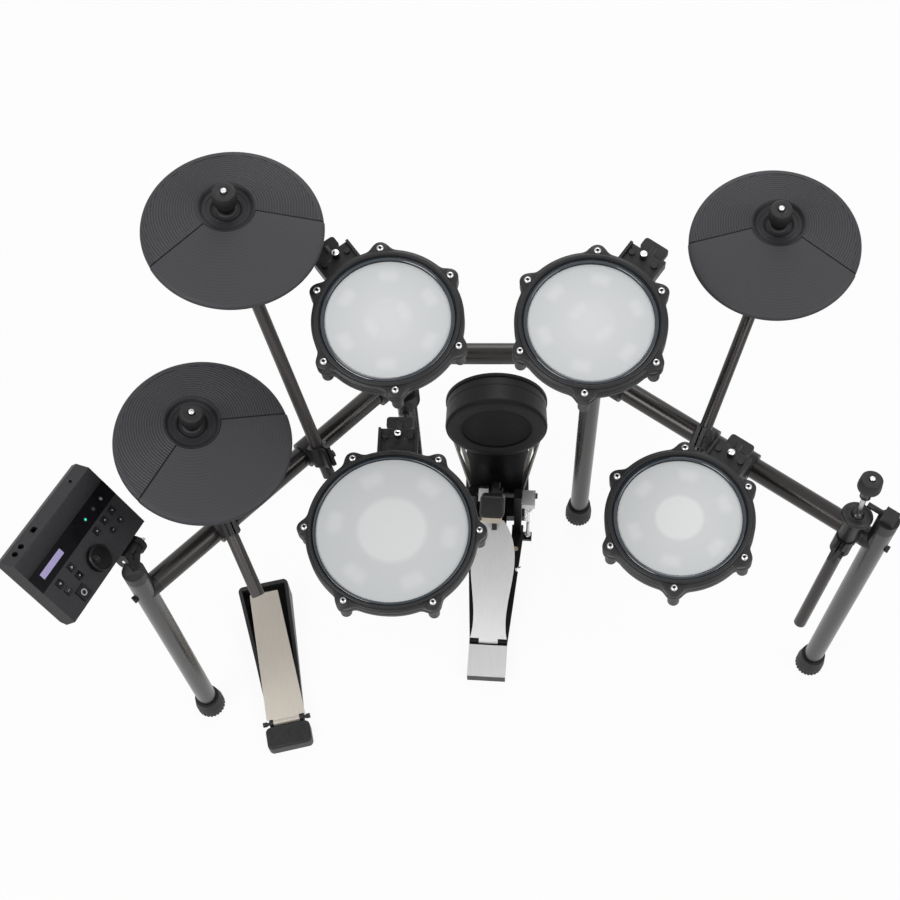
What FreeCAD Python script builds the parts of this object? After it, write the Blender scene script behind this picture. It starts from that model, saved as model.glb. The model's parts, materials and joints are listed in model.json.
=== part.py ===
import FreeCAD, Part
import math
import os

# An electronic drum kit on a folding tube rack.
# Millimetres, +Z up, +X to the player's right, +Y away from the player.
# The origin is on the floor midway between the two middle legs.

Vector = FreeCAD.Vector
UP = Vector(0, 0, 1)
TURN = 360.0
QUARTER = TURN / 4
HEX_SIDES = 6
HALF_SHARE = 0.5
STEEP_SHARE = 0.87      # an axis steeper than this share of upright counts as upright

# General fits
FIT = 0.05              # radial clearance of a collar on its tube
SEAT = 0.3              # gap left where two pieces are seated
OVERRUN = 1.0           # how far a cutter runs past the face it opens

# Rack tubes
TUBE_D = 34.0
TUBE_WALL = 1.8
PIPE_D = 20.0
PIPE_WALL = 1.6
ROD_D = 10.5
ROD_BEND = 14.0
MIDDLE_LEG_SPREAD = 155.0
LEFT_REACH = 537.0
RIGHT_REACH = 522.0
LEFT_SWEEP = 45.9       # degrees the left wing runs forward of the centre bar
RIGHT_SWEEP = 35.9      # degrees
CENTRE_BAR_HEIGHT = 597.0

# Heights on the legs: each clamp is set from the one next to it
COLLAR_GAP = 10.0       # between the collars of the centre bar and a side bar
TOM_CLAMP_GAP = 33.0
SNARE_CLAMP_GAP = 39.0
MIDDLE_LEG_ABOVE = 15.0
FRONT_LEG_ABOVE = 55.0  # a front leg's top above its bar

# Rubber feet
FOOT_WALL = 4.5
FOOT_FLARE = 3.5
FOOT_HEIGHT = 46.0
FOOT_SOLE = 8.0
FOOT_SKIRT = 20.0
FOOT_RIBS = 24
FOOT_RIB_D = 3.0

# Tee clamps: a collar on one tube with a socket for another
COLLAR_WALL = 6.0
COLLAR_LENGTH = 42.0
SOCKET_REACH = 62.0
SADDLE_REACH = 4.0      # how far a bar's end plug stands off the front leg
SADDLE_PLUG = 34.0
SOCKET_SETBACK = 3.0
EAR_REACH = 16.0
EAR_HALF = 7.0
EAR_LENGTH_SHARE = 0.8
SLOT_WIDTH = 2.4
CLAMP_BOLT_D = 6.0
CLAMP_HEAD_D = 11.0
CLAMP_HEAD_H = 5.0
ROD_TEE_LENGTH = 34.0
ROD_SOCKET_EXTRA = 20.0

# Cross clamps: a bar ring and a pipe ring joined by a web
CROSS_GAP = 8.0
CROSS_WIDTH = 30.0
CROSS_PIPE_WIDTH = 32.0
CROSS_WALL = 5.5
CROSS_WEB = 24.0
SETTLE_STEPS = 40       # passes that bring a leaning pipe square to its bar

# Leg caps
CAP_HEIGHT = 26.0
CAP_PLUG = 20.0
CAP_BLOCK = 22.0
CAP_BLOCK_H = 14.0
CAP_PIN_D = 9.0
CAP_PIN_L = 26.0

# Cymbal pads
CYMBAL_D = 254.0
CYMBAL_EDGE = 7.0
CYMBAL_RISE = 9.0       # how far the bell rim stands above the outer edge
CYMBAL_SHIFT = 29.0     # the bell's middle behind the middle of the whole pad
BELL_D = 80.0
BELL_FLOOR_D = 60.0
BELL_DEPTH = 7.0
CYMBAL_THICK = 6.5
WEDGE_ANGLE = 131.0     # degrees of the padded playing zone next to the player, about the bell
WEDGE_PROUD = 1.2
HUB_IN = 14.0           # radius of the rocking seat
HUB_THICK = 6.0
HUB_DOME = 6.0          # how far the hub's dome stands above the bell floor
HUB_HOLE_D = 17.0
POST_D = 8.0
POST_DROP = 78.0        # from the rocking centre down to the tilter ball
NUT_D = 35.0
NUT_H = 38.0
NUT_LIFT = 4.6          # the nut's lower face above the bell floor
FELT_D = 26.0
FELT_H = 12.0
TILTER_BALL_D = 20.0
TILTER_RING_D = 48.0
TILTER_RIM = 9.0
TILTER_GRIP = 3.0       # how far the cup's lip stands above the ball's middle
TILTER_SLEEVE_D = 27.0
TILTER_SLEEVE_L = 26.0
TILTER_CUP_GAP = 0.5

# Cymbal places: across, away and the rise above the side bars, then leans in degrees
CRASH_ACROSS = -368.7
CRASH_AWAY = 2.8
CRASH_RISE = 370.0
CRASH_LEAN_X = 5.2    # degrees
CRASH_LEAN_Y = -5.1    # degrees
CRASH_ZONE_TURN = 20.5    # degrees the playing zone is turned to the player
CRASH_CLAMP = 203.0     # along the left bar from the middle leg
RIDE_ACROSS = 411.6
RIDE_AWAY = 60.3
RIDE_RISE = 257.0
RIDE_LEAN_X = -4.6    # degrees
RIDE_LEAN_Y = -6.0    # degrees
RIDE_ZONE_TURN = -15.0    # degrees
RIDE_CLAMP = 215.0
HIHAT_ACROSS = -426.0
HIHAT_AWAY = -224.7
HIHAT_RISE = 167.0
HIHAT_LEAN_X = 10.5    # degrees
HIHAT_LEAN_Y = -6.1    # degrees
HIHAT_ZONE_TURN = 38.0    # degrees
HIHAT_CLAMP = 385.0
PIPE_TAIL_CRASH = 40.0
PIPE_TAIL_RIDE = 34.0
PIPE_TAIL_HIHAT = 118.0

# Spare cymbal post on the right bar: the ball's place from its point on the bar
SPARE_CLAMP_BACK = 41.0   # along the bar from the front leg
SPARE_ACROSS = -11.3
SPARE_AWAY = -14.4
SPARE_RISE = 75.0
SPARE_TAIL = 228.0
SPARE_LEAN_X = 2.4      # degrees
SPARE_LEAN_Y = 9.2      # degrees
SPARE_ROD = 92.0
SPARE_KNOB_D = 35.0
SPARE_KNOB_H = 22.0
SPARE_SLEEVE_D = 17.0
SPARE_SLEEVE_L = 22.0
SPARE_NIB = 3.0

# Drum pads
SNARE_HEAD_D = 221.6
SNARE_HOOP_D = 252.0
TOM_HEAD_D = 176.7
TOM_HOOP_D = 214.0
LUGS = 6
LUG_PHASE = 30.0        # degrees
HEAD_THICK = 1.2
HEAD_TUCK = 5.0
HOOP_RISE = 8.0
HOOP_DROP = 18.0
INNER_RING = 6.0
INNER_RING_LOW = 3.0
PAD_EAR_D = 23.0
PAD_EAR_TOP = 4.0
PAD_EAR_OUT = 1.0       # bolt circle beyond the hoop's outer radius
PAD_BOLT_D = 5.0
PAD_BOLT_HEAD_D = 10.5
PAD_BOLT_HEAD_H = 4.0
LUG_D = 17.0
LUG_LENGTH = 26.0
LUG_GAP = 2.0
LUG_WEB = 9.0
SHELL_DEPTH = 54.0
SHELL_WALL = 4.0
SHELL_INSET = 1.5
SENSOR_D = 40.0
SENSOR_TIP_D = 20.0
BRACKET_WIDTH = 60.0
BRACKET_PLATE = 4.0
BRACKET_DROP = 20.0
BRACKET_FLANGE = 16.0
BRACKET_LIP = 5.0       # how far a flange stands above the plate past the hoop
BRACKET_BLOCK_W = 27.0
BRACKET_BLOCK_H = 40.0
BRACKET_SCREW_D = 9.0
BRACKET_SCREW_H = 4.0
BRACKET_SCREW_SPREAD = 19.0
ROD_ABOVE = 30.0        # rod end above the wing bolt's height
WING_SHANK_D = 7.0
WING_TIP_GAP = 1.0
WING_HUB_D = 15.0
WING_HUB_L = 18.0
WING_SPAN = 40.0
WING_THICK = 9.0
WING_DEPTH = 19.0
WING_CORNER = 5.0

# Drum pad places: across, away and rise of the head's centre, then degrees of lean
# and of the bracket's turn; the snare and floor tom rise above the side bars, the
# other two above the centre bar
SNARE_ACROSS = -152.6
SNARE_AWAY = -333.5
SNARE_RISE = 105.3
SNARE_LEAN_X = 0.3    # degrees
SNARE_LEAN_Y = -3.6    # degrees
SNARE_BRACKET_TURN = -0.9    # degrees
SNARE_BRACKET_OUT = 158.0
LEFT_TOM_ACROSS = -151.8
LEFT_TOM_AWAY = -109.8
LEFT_TOM_RISE = 266.7
LEFT_TOM_LEAN_X = -0.3    # degrees
LEFT_TOM_LEAN_Y = -9.3    # degrees
LEFT_TOM_BRACKET_TURN = 36.7    # degrees
RIGHT_TOM_ACROSS = 130.7
RIGHT_TOM_AWAY = -117.9
RIGHT_TOM_RISE = 272.1
RIGHT_TOM_LEAN_X = -1.6    # degrees
RIGHT_TOM_LEAN_Y = -8.7    # degrees
RIGHT_TOM_BRACKET_TURN = -35.8    # degrees
FLOOR_TOM_ACROSS = 259.4
FLOOR_TOM_AWAY = -336.4
FLOOR_TOM_RISE = 152.9
FLOOR_TOM_LEAN_X = -4.7    # degrees
FLOOR_TOM_LEAN_Y = -2.3    # degrees
FLOOR_TOM_BRACKET_TURN = -37.3    # degrees
TOM_BRACKET_OUT = 130.0

# Kick tower and pad
KICK_ACROSS = -4.0
KICK_FACE_AWAY = 19.0
KICK_FACE_UP = 309.0
KICK_PAD_D = 180.0
KICK_PAD_DEPTH = 62.0
KICK_RIM_D = 183.0
KICK_RIM_W = 8.0
KICK_FACE_D = 124.0
KICK_FACE_SUNK = 4.5
KICK_FACE_THICK = 10.0
KICK_LEAN = 3.4         # degrees
COLUMN_TOP_W = 110.0
COLUMN_BASE_W = 92.0
COLUMN_FRONT_AWAY = 32.0
COLUMN_DEPTH = 46.0
COLUMN_WALL = 3.0
COLUMN_TOP = 238.0
BRACE_THICK = 3.0
BRACE_TOP_W = 166.0
BRACE_TOP_UP = 262.0
BRACE_BACK = 58.0
BRACE_WINDOW_SHARES = ((0.18, 0.50), (0.58, 0.22), (0.58, 0.78))
BRACE_BOLT_D = 11.0
BRACE_BOLT_H = 6.0
BRACE_BOLT_LOW = 20.0
BRACE_BOLT_HIGH = 60.0
BASE_WIDTH = 124.0
BASE_FRONT_AWAY = -14.0
BASE_DEPTH = 196.0
BASE_THICK = 5.0
BASE_MAT = 4.0
HOOP_PLATE_H = 12.0
HOOP_PLATE_DEPTH = 26.0

# Kick pedal, in its own frame: along its length, y = 0 under the shaft
PEDAL_ACROSS = -6.0
PEDAL_AWAY = -30.0
PEDAL_TURN = -3.3       # degrees
PEDAL_NOTCH = 24.0      # the plate's front edge behind the shaft, between the posts
PEDAL_PLATE = 5.0
PEDAL_FRONT = 6.0
PEDAL_RUBBER = 3.0
HEEL_BACK = 312.0
HEEL_HINGE_BACK = 243.0
HEEL_HINGE_UP = 24.0
HEEL_HALF = 35.0
HEEL_PLATE = 4.0
BOARD_LENGTH = 226.0
BOARD_TILT = 20.0       # degrees
BOARD_THICK = 5.0
BOARD_HEEL_HALF = 34.0
BOARD_WAIST_HALF = 32.0
BOARD_WIDE_HALF = 41.0
BOARD_TOE_HALF = 17.0
BOARD_WAIST_SHARE = 0.30
BOARD_WIDE_SHARE = 0.66
HINGE_D = 9.0
HINGE_PIN_D = 5.0
POST_SPREAD = 42.0
PEDAL_POST_W = 14.0
PEDAL_ARM_W = 22.0
PEDAL_POST_D = 20.0
SHAFT_UP = 152.0
SHAFT_D = 11.0
SHAFT_OUT = 78.0
POST_HEAD_UP = 14.0
CAM_D = 46.0
CAM_W = 14.0
BEATER_REACH = 150.0
BEATER_BACK = 34.0      # degrees the rod leans back at rest
BEATER_ROD_D = 8.0
BEATER_W = 43.0
BEATER_DEEP = 40.0
BEATER_HIGH = 44.0
BEATER_FELT = 9.0
BEATER_FELT_W = 34.4
BEATER_FELT_H = 35.2
BEATER_HUB_D = 26.0
BEATER_HUB_W = 26.0
BEATER_CORNER = 8.0
LEVER_X = 62.0
LEVER_REACH = 16.0
LEVER_LAP = 7.5         # how far the lever runs past the shaft's and the spring's middle
LEVER_W = 24.0
LEVER_H = 15.0
ROCKER_W = 18.0         # the clamp that holds the beater rod
ROCKER_DEEP = 24.0
ROCKER_HIGH = 34.0
ROCKER_SHIFT = 22.0
STRAP_W = 9.0
STRAP_T = 2.5
CLAMP_JAW_W = 40.0
CLAMP_JAW_H = 8.0
CLAMP_JAW_REACH = 24.0
CLAMP_WEB = 10.0

# Pedal spring
SPRING_D = 13.0         # mean diameter of the coil
SPRING_WIRE = 2.0
SPRING_PITCH = 3.4
SPRING_TURNS = 13
SPRING_HOOK = 11.0
SPRING_PLUMB = 5.0
SPRING_GAP_LEAST = 0.4
SPRING_EYE_D = 12.0
SPRING_EYE_W = 6.0
SPRING_TAB = 16.0

# Hi-hat control pedal, in its own frame: y = 0 at the heel pins
HAT_PEDAL_ACROSS = -385.0
HAT_PEDAL_AWAY = -423.0
HAT_PEDAL_TURN = 13.0   # degrees
HAT_LENGTH = 258.0
HAT_TOE_HALF = 47.0
HAT_HEEL_HALF = 31.0
HAT_TOE_UP = 62.0
HAT_MIDDLE = 120.0      # where the side walls begin to climb
HAT_MIDDLE_UP = 24.0
HAT_HEEL_UP = 17.0
HAT_WALL = 7.0
HAT_FLOOR = 5.0
HAT_CORNER = 9.0
HAT_CAP_LENGTH = 50.0
HAT_CAP_HALF = 40.0
HAT_CAP_UP = 29.0
HAT_CAP_CORNER = 9.0
HAT_CAP_EDGE = 4.0
HAT_PIN_UP = 20.0
HAT_PIN_D = 6.0
HAT_PIN_OUT = 8.0
HAT_PIN_HEAD = 9.0
HAT_BOARD_LENGTH = 240.0
HAT_BOARD_TILT = 11.0   # degrees
HAT_BOARD_TOE_HALF = 26.0
HAT_BOARD_HEEL_HALF = 35.0
HAT_BOARD_THICK = 4.0
HAT_BOARD_LIP = 7.0
HAT_CAP_GAP = 9.0

# Sound module, in its own frame: x along the long edge, y to the back;
# its face's centre is placed from the top of the left front leg
MODULE_ACROSS = -59.3
MODULE_AWAY = 15.1
MODULE_RISE = 85.0
MODULE_TURN = 70.8      # degrees
MODULE_PITCH = -15.8    # degrees
MODULE_ROLL = 46.3      # degrees
MODULE_LENGTH = 198.0
MODULE_WIDTH = 116.0
MODULE_BACK = 14.0
MODULE_BACK_DROP = 16.0
MODULE_HEIGHT = 27.0
MODULE_FRONT_CUT = 8.0
MODULE_FRONT_DROP = 21.0
MODULE_WALL = 2.5
MODULE_SPLIT = 14.0
WINDOW_THICK = 1.4
WINDOW_SINK = 1.1
WINDOW_START_SHARE = 0.235
WINDOW_END_SHARE = 0.475
DIAL_D = 40.0
DIAL_H = 9.0
DIAL_DIMPLE_D = 12.0
DIAL_DIMPLE_OUT_SHARE = 0.52
DIAL_DIMPLE_DEEP = 2.0
DIAL_SHAFT_D = 6.0
DIAL_SHAFT_L = 8.0
DIAL_COLLAR_D = 14.0
DIAL_SHARES = (0.50, 0.78)
BUTTON_RISE = 1.8
BUTTON_GAP = 0.4
BUTTON_FLANGE = 1.5
BUTTON_FLANGE_T = 1.2
BUTTON_STEM = 4.0
SQUARE_BUTTON = 10.0
ROUND_BUTTON_D = 8.5
LARGE_BUTTON = 19.0
BUTTON_PLACES_SHARES = (
    ("module_pad_button_a", "square", 0.654, 0.560),
    ("module_pad_button_b", "square", 0.766, 0.560),
    ("module_pad_button_c", "square", 0.870, 0.560),
    ("module_volume_button_down", "round", 0.757, 0.720),
    ("module_volume_button_up", "round", 0.862, 0.720),
    ("module_right_button", "square", 0.297, 0.564),
    ("module_left_button", "square", 0.141, 0.569),
    ("module_enter_button", "square", 0.293, 0.704),
    ("module_back_button", "square", 0.146, 0.704),
    ("module_kit_button", "large", 0.218, 0.872),
)
JACK_LARGE_D = 9.0
JACK_SMALL_D = 5.5
JACK_DEEP = 9.0
JACK_PLACES_SHARES = (("large", 0.10), ("large", 0.175), ("square", 0.34), ("small", 0.83))
JACK_SQUARE = 10.0
JACK_SQUARE_H = 8.0

# Module fork on the left front leg
TONGUE_ALONG = 54.0
TONGUE_OUT = 16.0
TONGUE_DOWN = 15.0
TONGUE_W = 22.0
TONGUE_D = 22.0
TINE_W = 9.0
TINE_D = 30.0
FORK_PIN_D = 7.0
FORK_PIN_HEAD_D = 12.0
FORK_PIN_HEAD_L = 6.0
FORK_WING_SPAN = 24.0
FORK_WING_T = 4.0
FORK_ROOT = 20.0
FORK_ARM_W = 27.0

# What follows from the sizes above
TUBE_R = TUBE_D / 2
PIPE_R = PIPE_D / 2
ROD_R = ROD_D / 2
HALF_COLLARS = (COLLAR_LENGTH + ROD_TEE_LENGTH) / 2
SIDE_BAR_HEIGHT = CENTRE_BAR_HEIGHT - COLLAR_LENGTH - COLLAR_GAP
TOM_CLAMP_UP = CENTRE_BAR_HEIGHT + HALF_COLLARS + TOM_CLAMP_GAP
SNARE_CLAMP_UP = SIDE_BAR_HEIGHT - HALF_COLLARS - SNARE_CLAMP_GAP
MIDDLE_LEG_TOP = TOM_CLAMP_UP + ROD_TEE_LENGTH / 2 + MIDDLE_LEG_ABOVE
FRONT_LEG_TOP = SIDE_BAR_HEIGHT + FRONT_LEG_ABOVE


def unit(vector):
    """The vector scaled to length one."""
    return vector / vector.Length


def heading(degrees):
    """A level direction, counted from +X towards +Y."""
    return Vector(math.cos(math.radians(degrees)), math.sin(math.radians(degrees)), 0)


def normal_of(lean_x, lean_y):
    """The upward normal of a face leaning by two angles."""
    return unit(Vector(math.tan(math.radians(lean_x)), math.tan(math.radians(lean_y)), 1))


def frame_at(origin, z_axis, y_hint):
    """A placement with its z axis given and its y axis as near the hint as it can be."""
    z_dir = unit(z_axis)
    x_dir = unit(y_hint.cross(z_dir))
    y_dir = z_dir.cross(x_dir)
    return FreeCAD.Placement(origin, FreeCAD.Rotation(x_dir, y_dir, z_dir, "ZXY"))


def placed(shape, placement):
    """A copy of the shape moved into a frame."""
    copy = shape.copy()
    copy.Placement = placement.multiply(copy.Placement)
    return copy


def rod(start, end, radius):
    """A round bar between two points."""
    return Part.makeCylinder(radius, (end - start).Length, start, end - start)


def tube(start, end, outer, wall):
    """An open tube between two points."""
    axis = unit(end - start)
    bore = rod(start - axis * OVERRUN, end + axis * OVERRUN, outer - wall)
    return rod(start, end, outer).cut(bore)


def block(size, centre):
    """A box about its centre."""
    corner = centre - size / 2
    return Part.makeBox(size.x, size.y, size.z, corner)


def spun(points):
    """A solid turned about Z from radius and height pairs."""
    ring = [Vector(radius, 0, height) for radius, height in points]
    face = Part.Face(Part.makePolygon(ring + ring[:1]))
    return face.revolve(Vector(), UP, TURN)


def prism(points, direction):
    """A solid pushed out of a closed outline."""
    return Part.Face(Part.makePolygon(points + points[:1])).extrude(direction)


def united(shapes):
    """All shapes fused into one, seams removed."""
    total = shapes[0]
    for shape in shapes[1:]:
        total = total.fuse(shape)
    return total.removeSplitter()


def hexagon(across, height, base, axis):
    """A hexagon head standing on its base point."""
    frame = frame_at(base, axis, UP if abs(axis.z) < STEEP_SHARE else Vector(0, 1, 0))
    radius = across / 2 / math.cos(math.pi / HEX_SIDES)
    corners = [heading(TURN / HEX_SIDES * step) * radius for step in range(HEX_SIDES)]
    return placed(prism(corners, UP * height), frame)


def save(name, pieces):
    """Writes one named node; a list becomes a group of separate solids."""
    shape = pieces if not isinstance(pieces, list) else Part.makeCompound(pieces)
    shape.exportStep("parts/%s.step" % name)
    print("%-26s solids %d valid %s" % (name, len(shape.Solids), shape.isValid()))


def note(name, point, axis):
    """Prints a pivot so that the record can name it."""
    spot = tuple(round(value, 3) for value in point)
    line = tuple(round(value, 6) for value in unit(axis))
    print("PIVOT %s %s %s" % (name, spot, line))


def clamp_bolt(centre, axis, half):
    """A hexagon bolt through an ear: head on one face, tip at the other."""
    seat = centre + axis * half
    shank = rod(centre - axis * half, seat, CLAMP_BOLT_D / 2)
    return shank.fuse(hexagon(CLAMP_HEAD_D, CLAMP_HEAD_H, seat, axis))


def tee(post_radius, arm_radius, length, reach, ear_way):
    """A split collar on Z with a socket along +X, its ear some other way, and its bolt."""
    outer = post_radius + COLLAR_WALL
    half_up = UP * (length / 2)
    ear_far = outer + EAR_REACH
    turned = frame_at(Vector(), UP, UP.cross(ear_way))
    ear_size = Vector(ear_far, EAR_HALF * 2, length * EAR_LENGTH_SHARE)
    ear = placed(block(ear_size, Vector(ear_far / 2, 0, 0)), turned)
    socket = rod(Vector(), Vector(reach, 0, 0), arm_radius + COLLAR_WALL)
    body = united([rod(-half_up, half_up, outer), ear, socket])
    bore = rod(-half_up * 2, half_up * 2, post_radius + FIT)
    pocket_start = post_radius + SOCKET_SETBACK
    pocket = rod(Vector(pocket_start, 0, 0), Vector(reach + OVERRUN, 0, 0), arm_radius + FIT)
    slot = placed(block(Vector(ear_far * 2, SLOT_WIDTH, length * 2), Vector(ear_far, 0, 0)), turned)
    bolt_at = ear_way * (outer + EAR_REACH / 2)
    across = UP.cross(ear_way)
    hole = rod(bolt_at - across * EAR_HALF * 2, bolt_at + across * EAR_HALF * 2, CLAMP_BOLT_D / 2 + SEAT)
    body = body.cut(bore).cut(pocket).cut(slot).cut(hole)
    return [body, clamp_bolt(bolt_at, across, EAR_HALF)]


def tee_at(point, post_axis, arm_axis, post_radius, arm_radius, length, reach, ear_way=Vector(-1, 0, 0)):
    """A tee clamp set on a tube, its socket looking along the arm."""
    frame = frame_at(point, post_axis, post_axis.cross(arm_axis))
    return [placed(piece, frame) for piece in tee(post_radius, arm_radius, length, reach, ear_way)]


def saddle(point, arm_axis):
    """A plug in a bar's end, hollowed to sit against the front leg, and its bolt."""
    face = point + arm_axis * (TUBE_R + SADDLE_REACH)
    neck = rod(point, face, TUBE_R)
    plug = rod(point, face + arm_axis * SADDLE_PLUG, TUBE_R - TUBE_WALL - FIT)
    leg = rod(point - UP * TUBE_D, point + UP * TUBE_D, TUBE_R + FIT)
    seat = point - arm_axis * TUBE_R
    tip = face + arm_axis * (SADDLE_PLUG / 2)
    body = united([neck, plug]).cut(leg).cut(rod(seat, tip + arm_axis * OVERRUN, CLAMP_BOLT_D / 2 + FIT))
    bolt = rod(seat, tip, CLAMP_BOLT_D / 2).fuse(
        hexagon(CLAMP_HEAD_D, CLAMP_HEAD_H, seat, arm_axis * -1))
    return [body, bolt]


def socket_floor(point, arm_axis, post_radius):
    """Where a tube ends inside a tee's socket."""
    return point + arm_axis * (post_radius + SOCKET_SETBACK + SEAT)


def cross_clamp(bar_point, bar_axis, pipe_point, pipe_axis):
    """A clamp that holds a pipe beside a bar, and its bolt."""
    across = unit(pipe_point - bar_point)
    bar_half = bar_axis * (CROSS_WIDTH / 2)
    pipe_half = pipe_axis * (CROSS_PIPE_WIDTH / 2)
    bar_ring = rod(bar_point - bar_half, bar_point + bar_half, TUBE_R + CROSS_WALL)
    pipe_ring = rod(pipe_point - pipe_half, pipe_point + pipe_half, PIPE_R + CROSS_WALL)
    side = unit(pipe_axis.cross(across))
    ear_reach = PIPE_R + CROSS_WALL + EAR_REACH
    ear_frame = frame_at(pipe_point, across, pipe_axis)
    ear_size = Vector(EAR_HALF * 2, CROSS_PIPE_WIDTH, ear_reach)
    ear = placed(block(ear_size, UP * (ear_reach / 2)), ear_frame)
    web_size = Vector(CROSS_WEB, CROSS_WEB, (pipe_point - bar_point).Length)
    web = placed(block(web_size, UP * (web_size.z / 2)), frame_at(bar_point, across, pipe_axis))
    body = united([bar_ring, pipe_ring, web, ear])
    slot_size = Vector(SLOT_WIDTH, CROSS_PIPE_WIDTH * 2, ear_reach * 2)
    slot = placed(block(slot_size, UP * ear_reach), ear_frame)
    bolt_at = pipe_point + across * (ear_reach - EAR_REACH / 2)
    hole = rod(bolt_at - side * ear_reach, bolt_at + side * ear_reach, CLAMP_BOLT_D / 2 + SEAT)
    body = body.cut(rod(bar_point - bar_half * 2, bar_point + bar_half * 2, TUBE_R + FIT))
    body = body.cut(rod(pipe_point - pipe_half * 2, pipe_point + pipe_half * 2, PIPE_R + FIT))
    body = body.cut(slot).cut(hole)
    return [body, clamp_bolt(bolt_at, side, EAR_HALF)]


def foot_at(point):
    """A ribbed rubber cup on a leg's end."""
    neck = TUBE_R + FOOT_WALL
    skirt = neck + FOOT_FLARE
    cup = spun([
        (0, 0),
        (skirt, 0),
        (skirt, FOOT_SKIRT),
        (neck, FOOT_HEIGHT),
        (TUBE_R + FIT, FOOT_HEIGHT),
        (TUBE_R + FIT, FOOT_SOLE),
        (0, FOOT_SOLE),
    ])
    groove = Part.makeCylinder(FOOT_RIB_D / 2, FOOT_SKIRT, Vector(skirt, 0, -OVERRUN))
    for rib in range(FOOT_RIBS):
        cutter = groove.copy()
        cutter.rotate(Vector(), UP, TURN / FOOT_RIBS * rib)
        cup = cup.cut(cutter)
    cup.translate(point)
    return cup


def bent_rod(top, corner, end):
    """An L-shaped rod with a round bend."""
    down = unit(corner - top)
    out = unit(end - corner)
    leave = corner - down * ROD_BEND
    join = corner + out * ROD_BEND
    centre = leave + out * ROD_BEND
    middle = centre + unit(corner - centre) * ROD_BEND
    path = Part.Wire([
        Part.makeLine(top, leave),
        Part.Arc(leave, middle, join).toShape(),
        Part.makeLine(join, end),
    ])
    profile = Part.Wire(Part.makeCircle(ROD_R, top, down))
    return path.makePipeShell([profile], True, False)


def disc_between(low_middle, low_radius, high_middle, high_radius):
    """A slanting cone between two level circles, which need not be in line."""
    circles = [Part.Circle(low_middle, UP, low_radius), Part.Circle(high_middle, UP, high_radius)]
    return Part.makeLoft([Part.Wire(circle.toShape()) for circle in circles], True, True)


def cymbal_bow(proud):
    """A cymbal's outer form, solid underneath; its edge and top may stand proud."""
    radius = CYMBAL_D / 2
    rim_up = HUB_IN + HUB_THICK - HUB_DOME + BELL_DEPTH
    edge_up = rim_up - CYMBAL_RISE
    middle = Vector(0, -CYMBAL_SHIFT, 0)
    plate = spun([
        (0, edge_up + proud),
        (radius - CYMBAL_EDGE, edge_up + proud),
        (radius + proud, edge_up - CYMBAL_EDGE / 2),
        (radius + proud, edge_up - CYMBAL_EDGE),
        (radius - CYMBAL_EDGE, edge_up - CYMBAL_THICK),
        (0, edge_up - CYMBAL_THICK),
    ])
    plate.translate(middle)
    dome = disc_between(
        middle + UP * (edge_up + proud), radius - CYMBAL_EDGE, UP * rim_up, BELL_D / 2)
    return plate.fuse(dome)


def cymbal():
    """A rubber cymbal pad about its rocking centre, the playing zone towards -Y."""
    hub_out = HUB_IN + HUB_THICK
    floor_up = hub_out - HUB_DOME
    step_up = floor_up + BELL_DEPTH / 2
    rim_up = floor_up + BELL_DEPTH
    edge_up = rim_up - CYMBAL_RISE
    radius = CYMBAL_D / 2
    middle = Vector(0, -CYMBAL_SHIFT, 0)
    half = math.radians(WEDGE_ANGLE / 2)
    reach = CYMBAL_D * 2
    corners = [
        Vector(),
        Vector(-math.sin(half), -math.cos(half), 0) * reach,
        Vector(0, -reach, 0),
        Vector(math.sin(half), -math.cos(half), 0) * reach,
    ]
    sector = prism(corners, UP * reach)
    bow = united([cymbal_bow(0), cymbal_bow(WEDGE_PROUD).common(sector)])
    under_edge = middle + UP * (edge_up - CYMBAL_THICK)
    under_bell = UP * (step_up - CYMBAL_THICK)
    hollow = disc_between(under_edge, radius - CYMBAL_EDGE, under_bell, BELL_D / 2)
    bell = spun([
        (0, floor_up - CYMBAL_THICK),
        (BELL_FLOOR_D / 2, floor_up - CYMBAL_THICK),
        (BELL_D / 2, step_up - CYMBAL_THICK),
        (BELL_D / 2, rim_up),
        (0, rim_up),
    ])
    recess = spun([
        (0, floor_up),
        (BELL_FLOOR_D / 2, floor_up),
        (BELL_FLOOR_D / 2, step_up),
        (BELL_D / 2, step_up),
        (BELL_D / 2, rim_up + CYMBAL_THICK),
        (0, rim_up + CYMBAL_THICK),
    ])
    hub = Part.makeSphere(hub_out).common(rod(UP * (floor_up - CYMBAL_THICK), UP * hub_out, hub_out))
    body = united([united([bow.cut(hollow), bell]).cut(recess), hub])
    body = body.cut(Part.makeSphere(HUB_IN))
    return body.cut(rod(Vector(), UP * (rim_up + OVERRUN), HUB_HOLE_D / 2))


def cymbal_post(rod_radius):
    """The rod, rocking seat and nut a cymbal sits on, about its rocking centre."""
    seat_ball = Part.makeSphere(HUB_IN - SEAT)
    skirt = rod(UP * -FELT_H, Vector(), FELT_D / 2)
    felt = seat_ball.common(rod(Vector(), UP * HUB_IN, FELT_D / 2)).fuse(skirt)
    felt = felt.cut(rod(UP * -FELT_H * 2, UP * HUB_IN * 2, rod_radius + FIT))
    hub_out = HUB_IN + HUB_THICK
    nut_top = hub_out + NUT_H
    nut_low = hub_out - HUB_DOME + NUT_LIFT
    nut = rod(UP * nut_low, UP * nut_top, NUT_D / 2).cut(Part.makeSphere(hub_out + SEAT))
    nut = nut.cut(rod(Vector(), UP * nut_top * 2, rod_radius + FIT))
    stem = rod(UP * -POST_DROP, UP * (nut_top + SPARE_NIB), rod_radius)
    ball = Part.makeSphere(TILTER_BALL_D / 2, UP * -POST_DROP)
    return [stem.fuse(ball), felt.removeSplitter(), nut]


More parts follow.
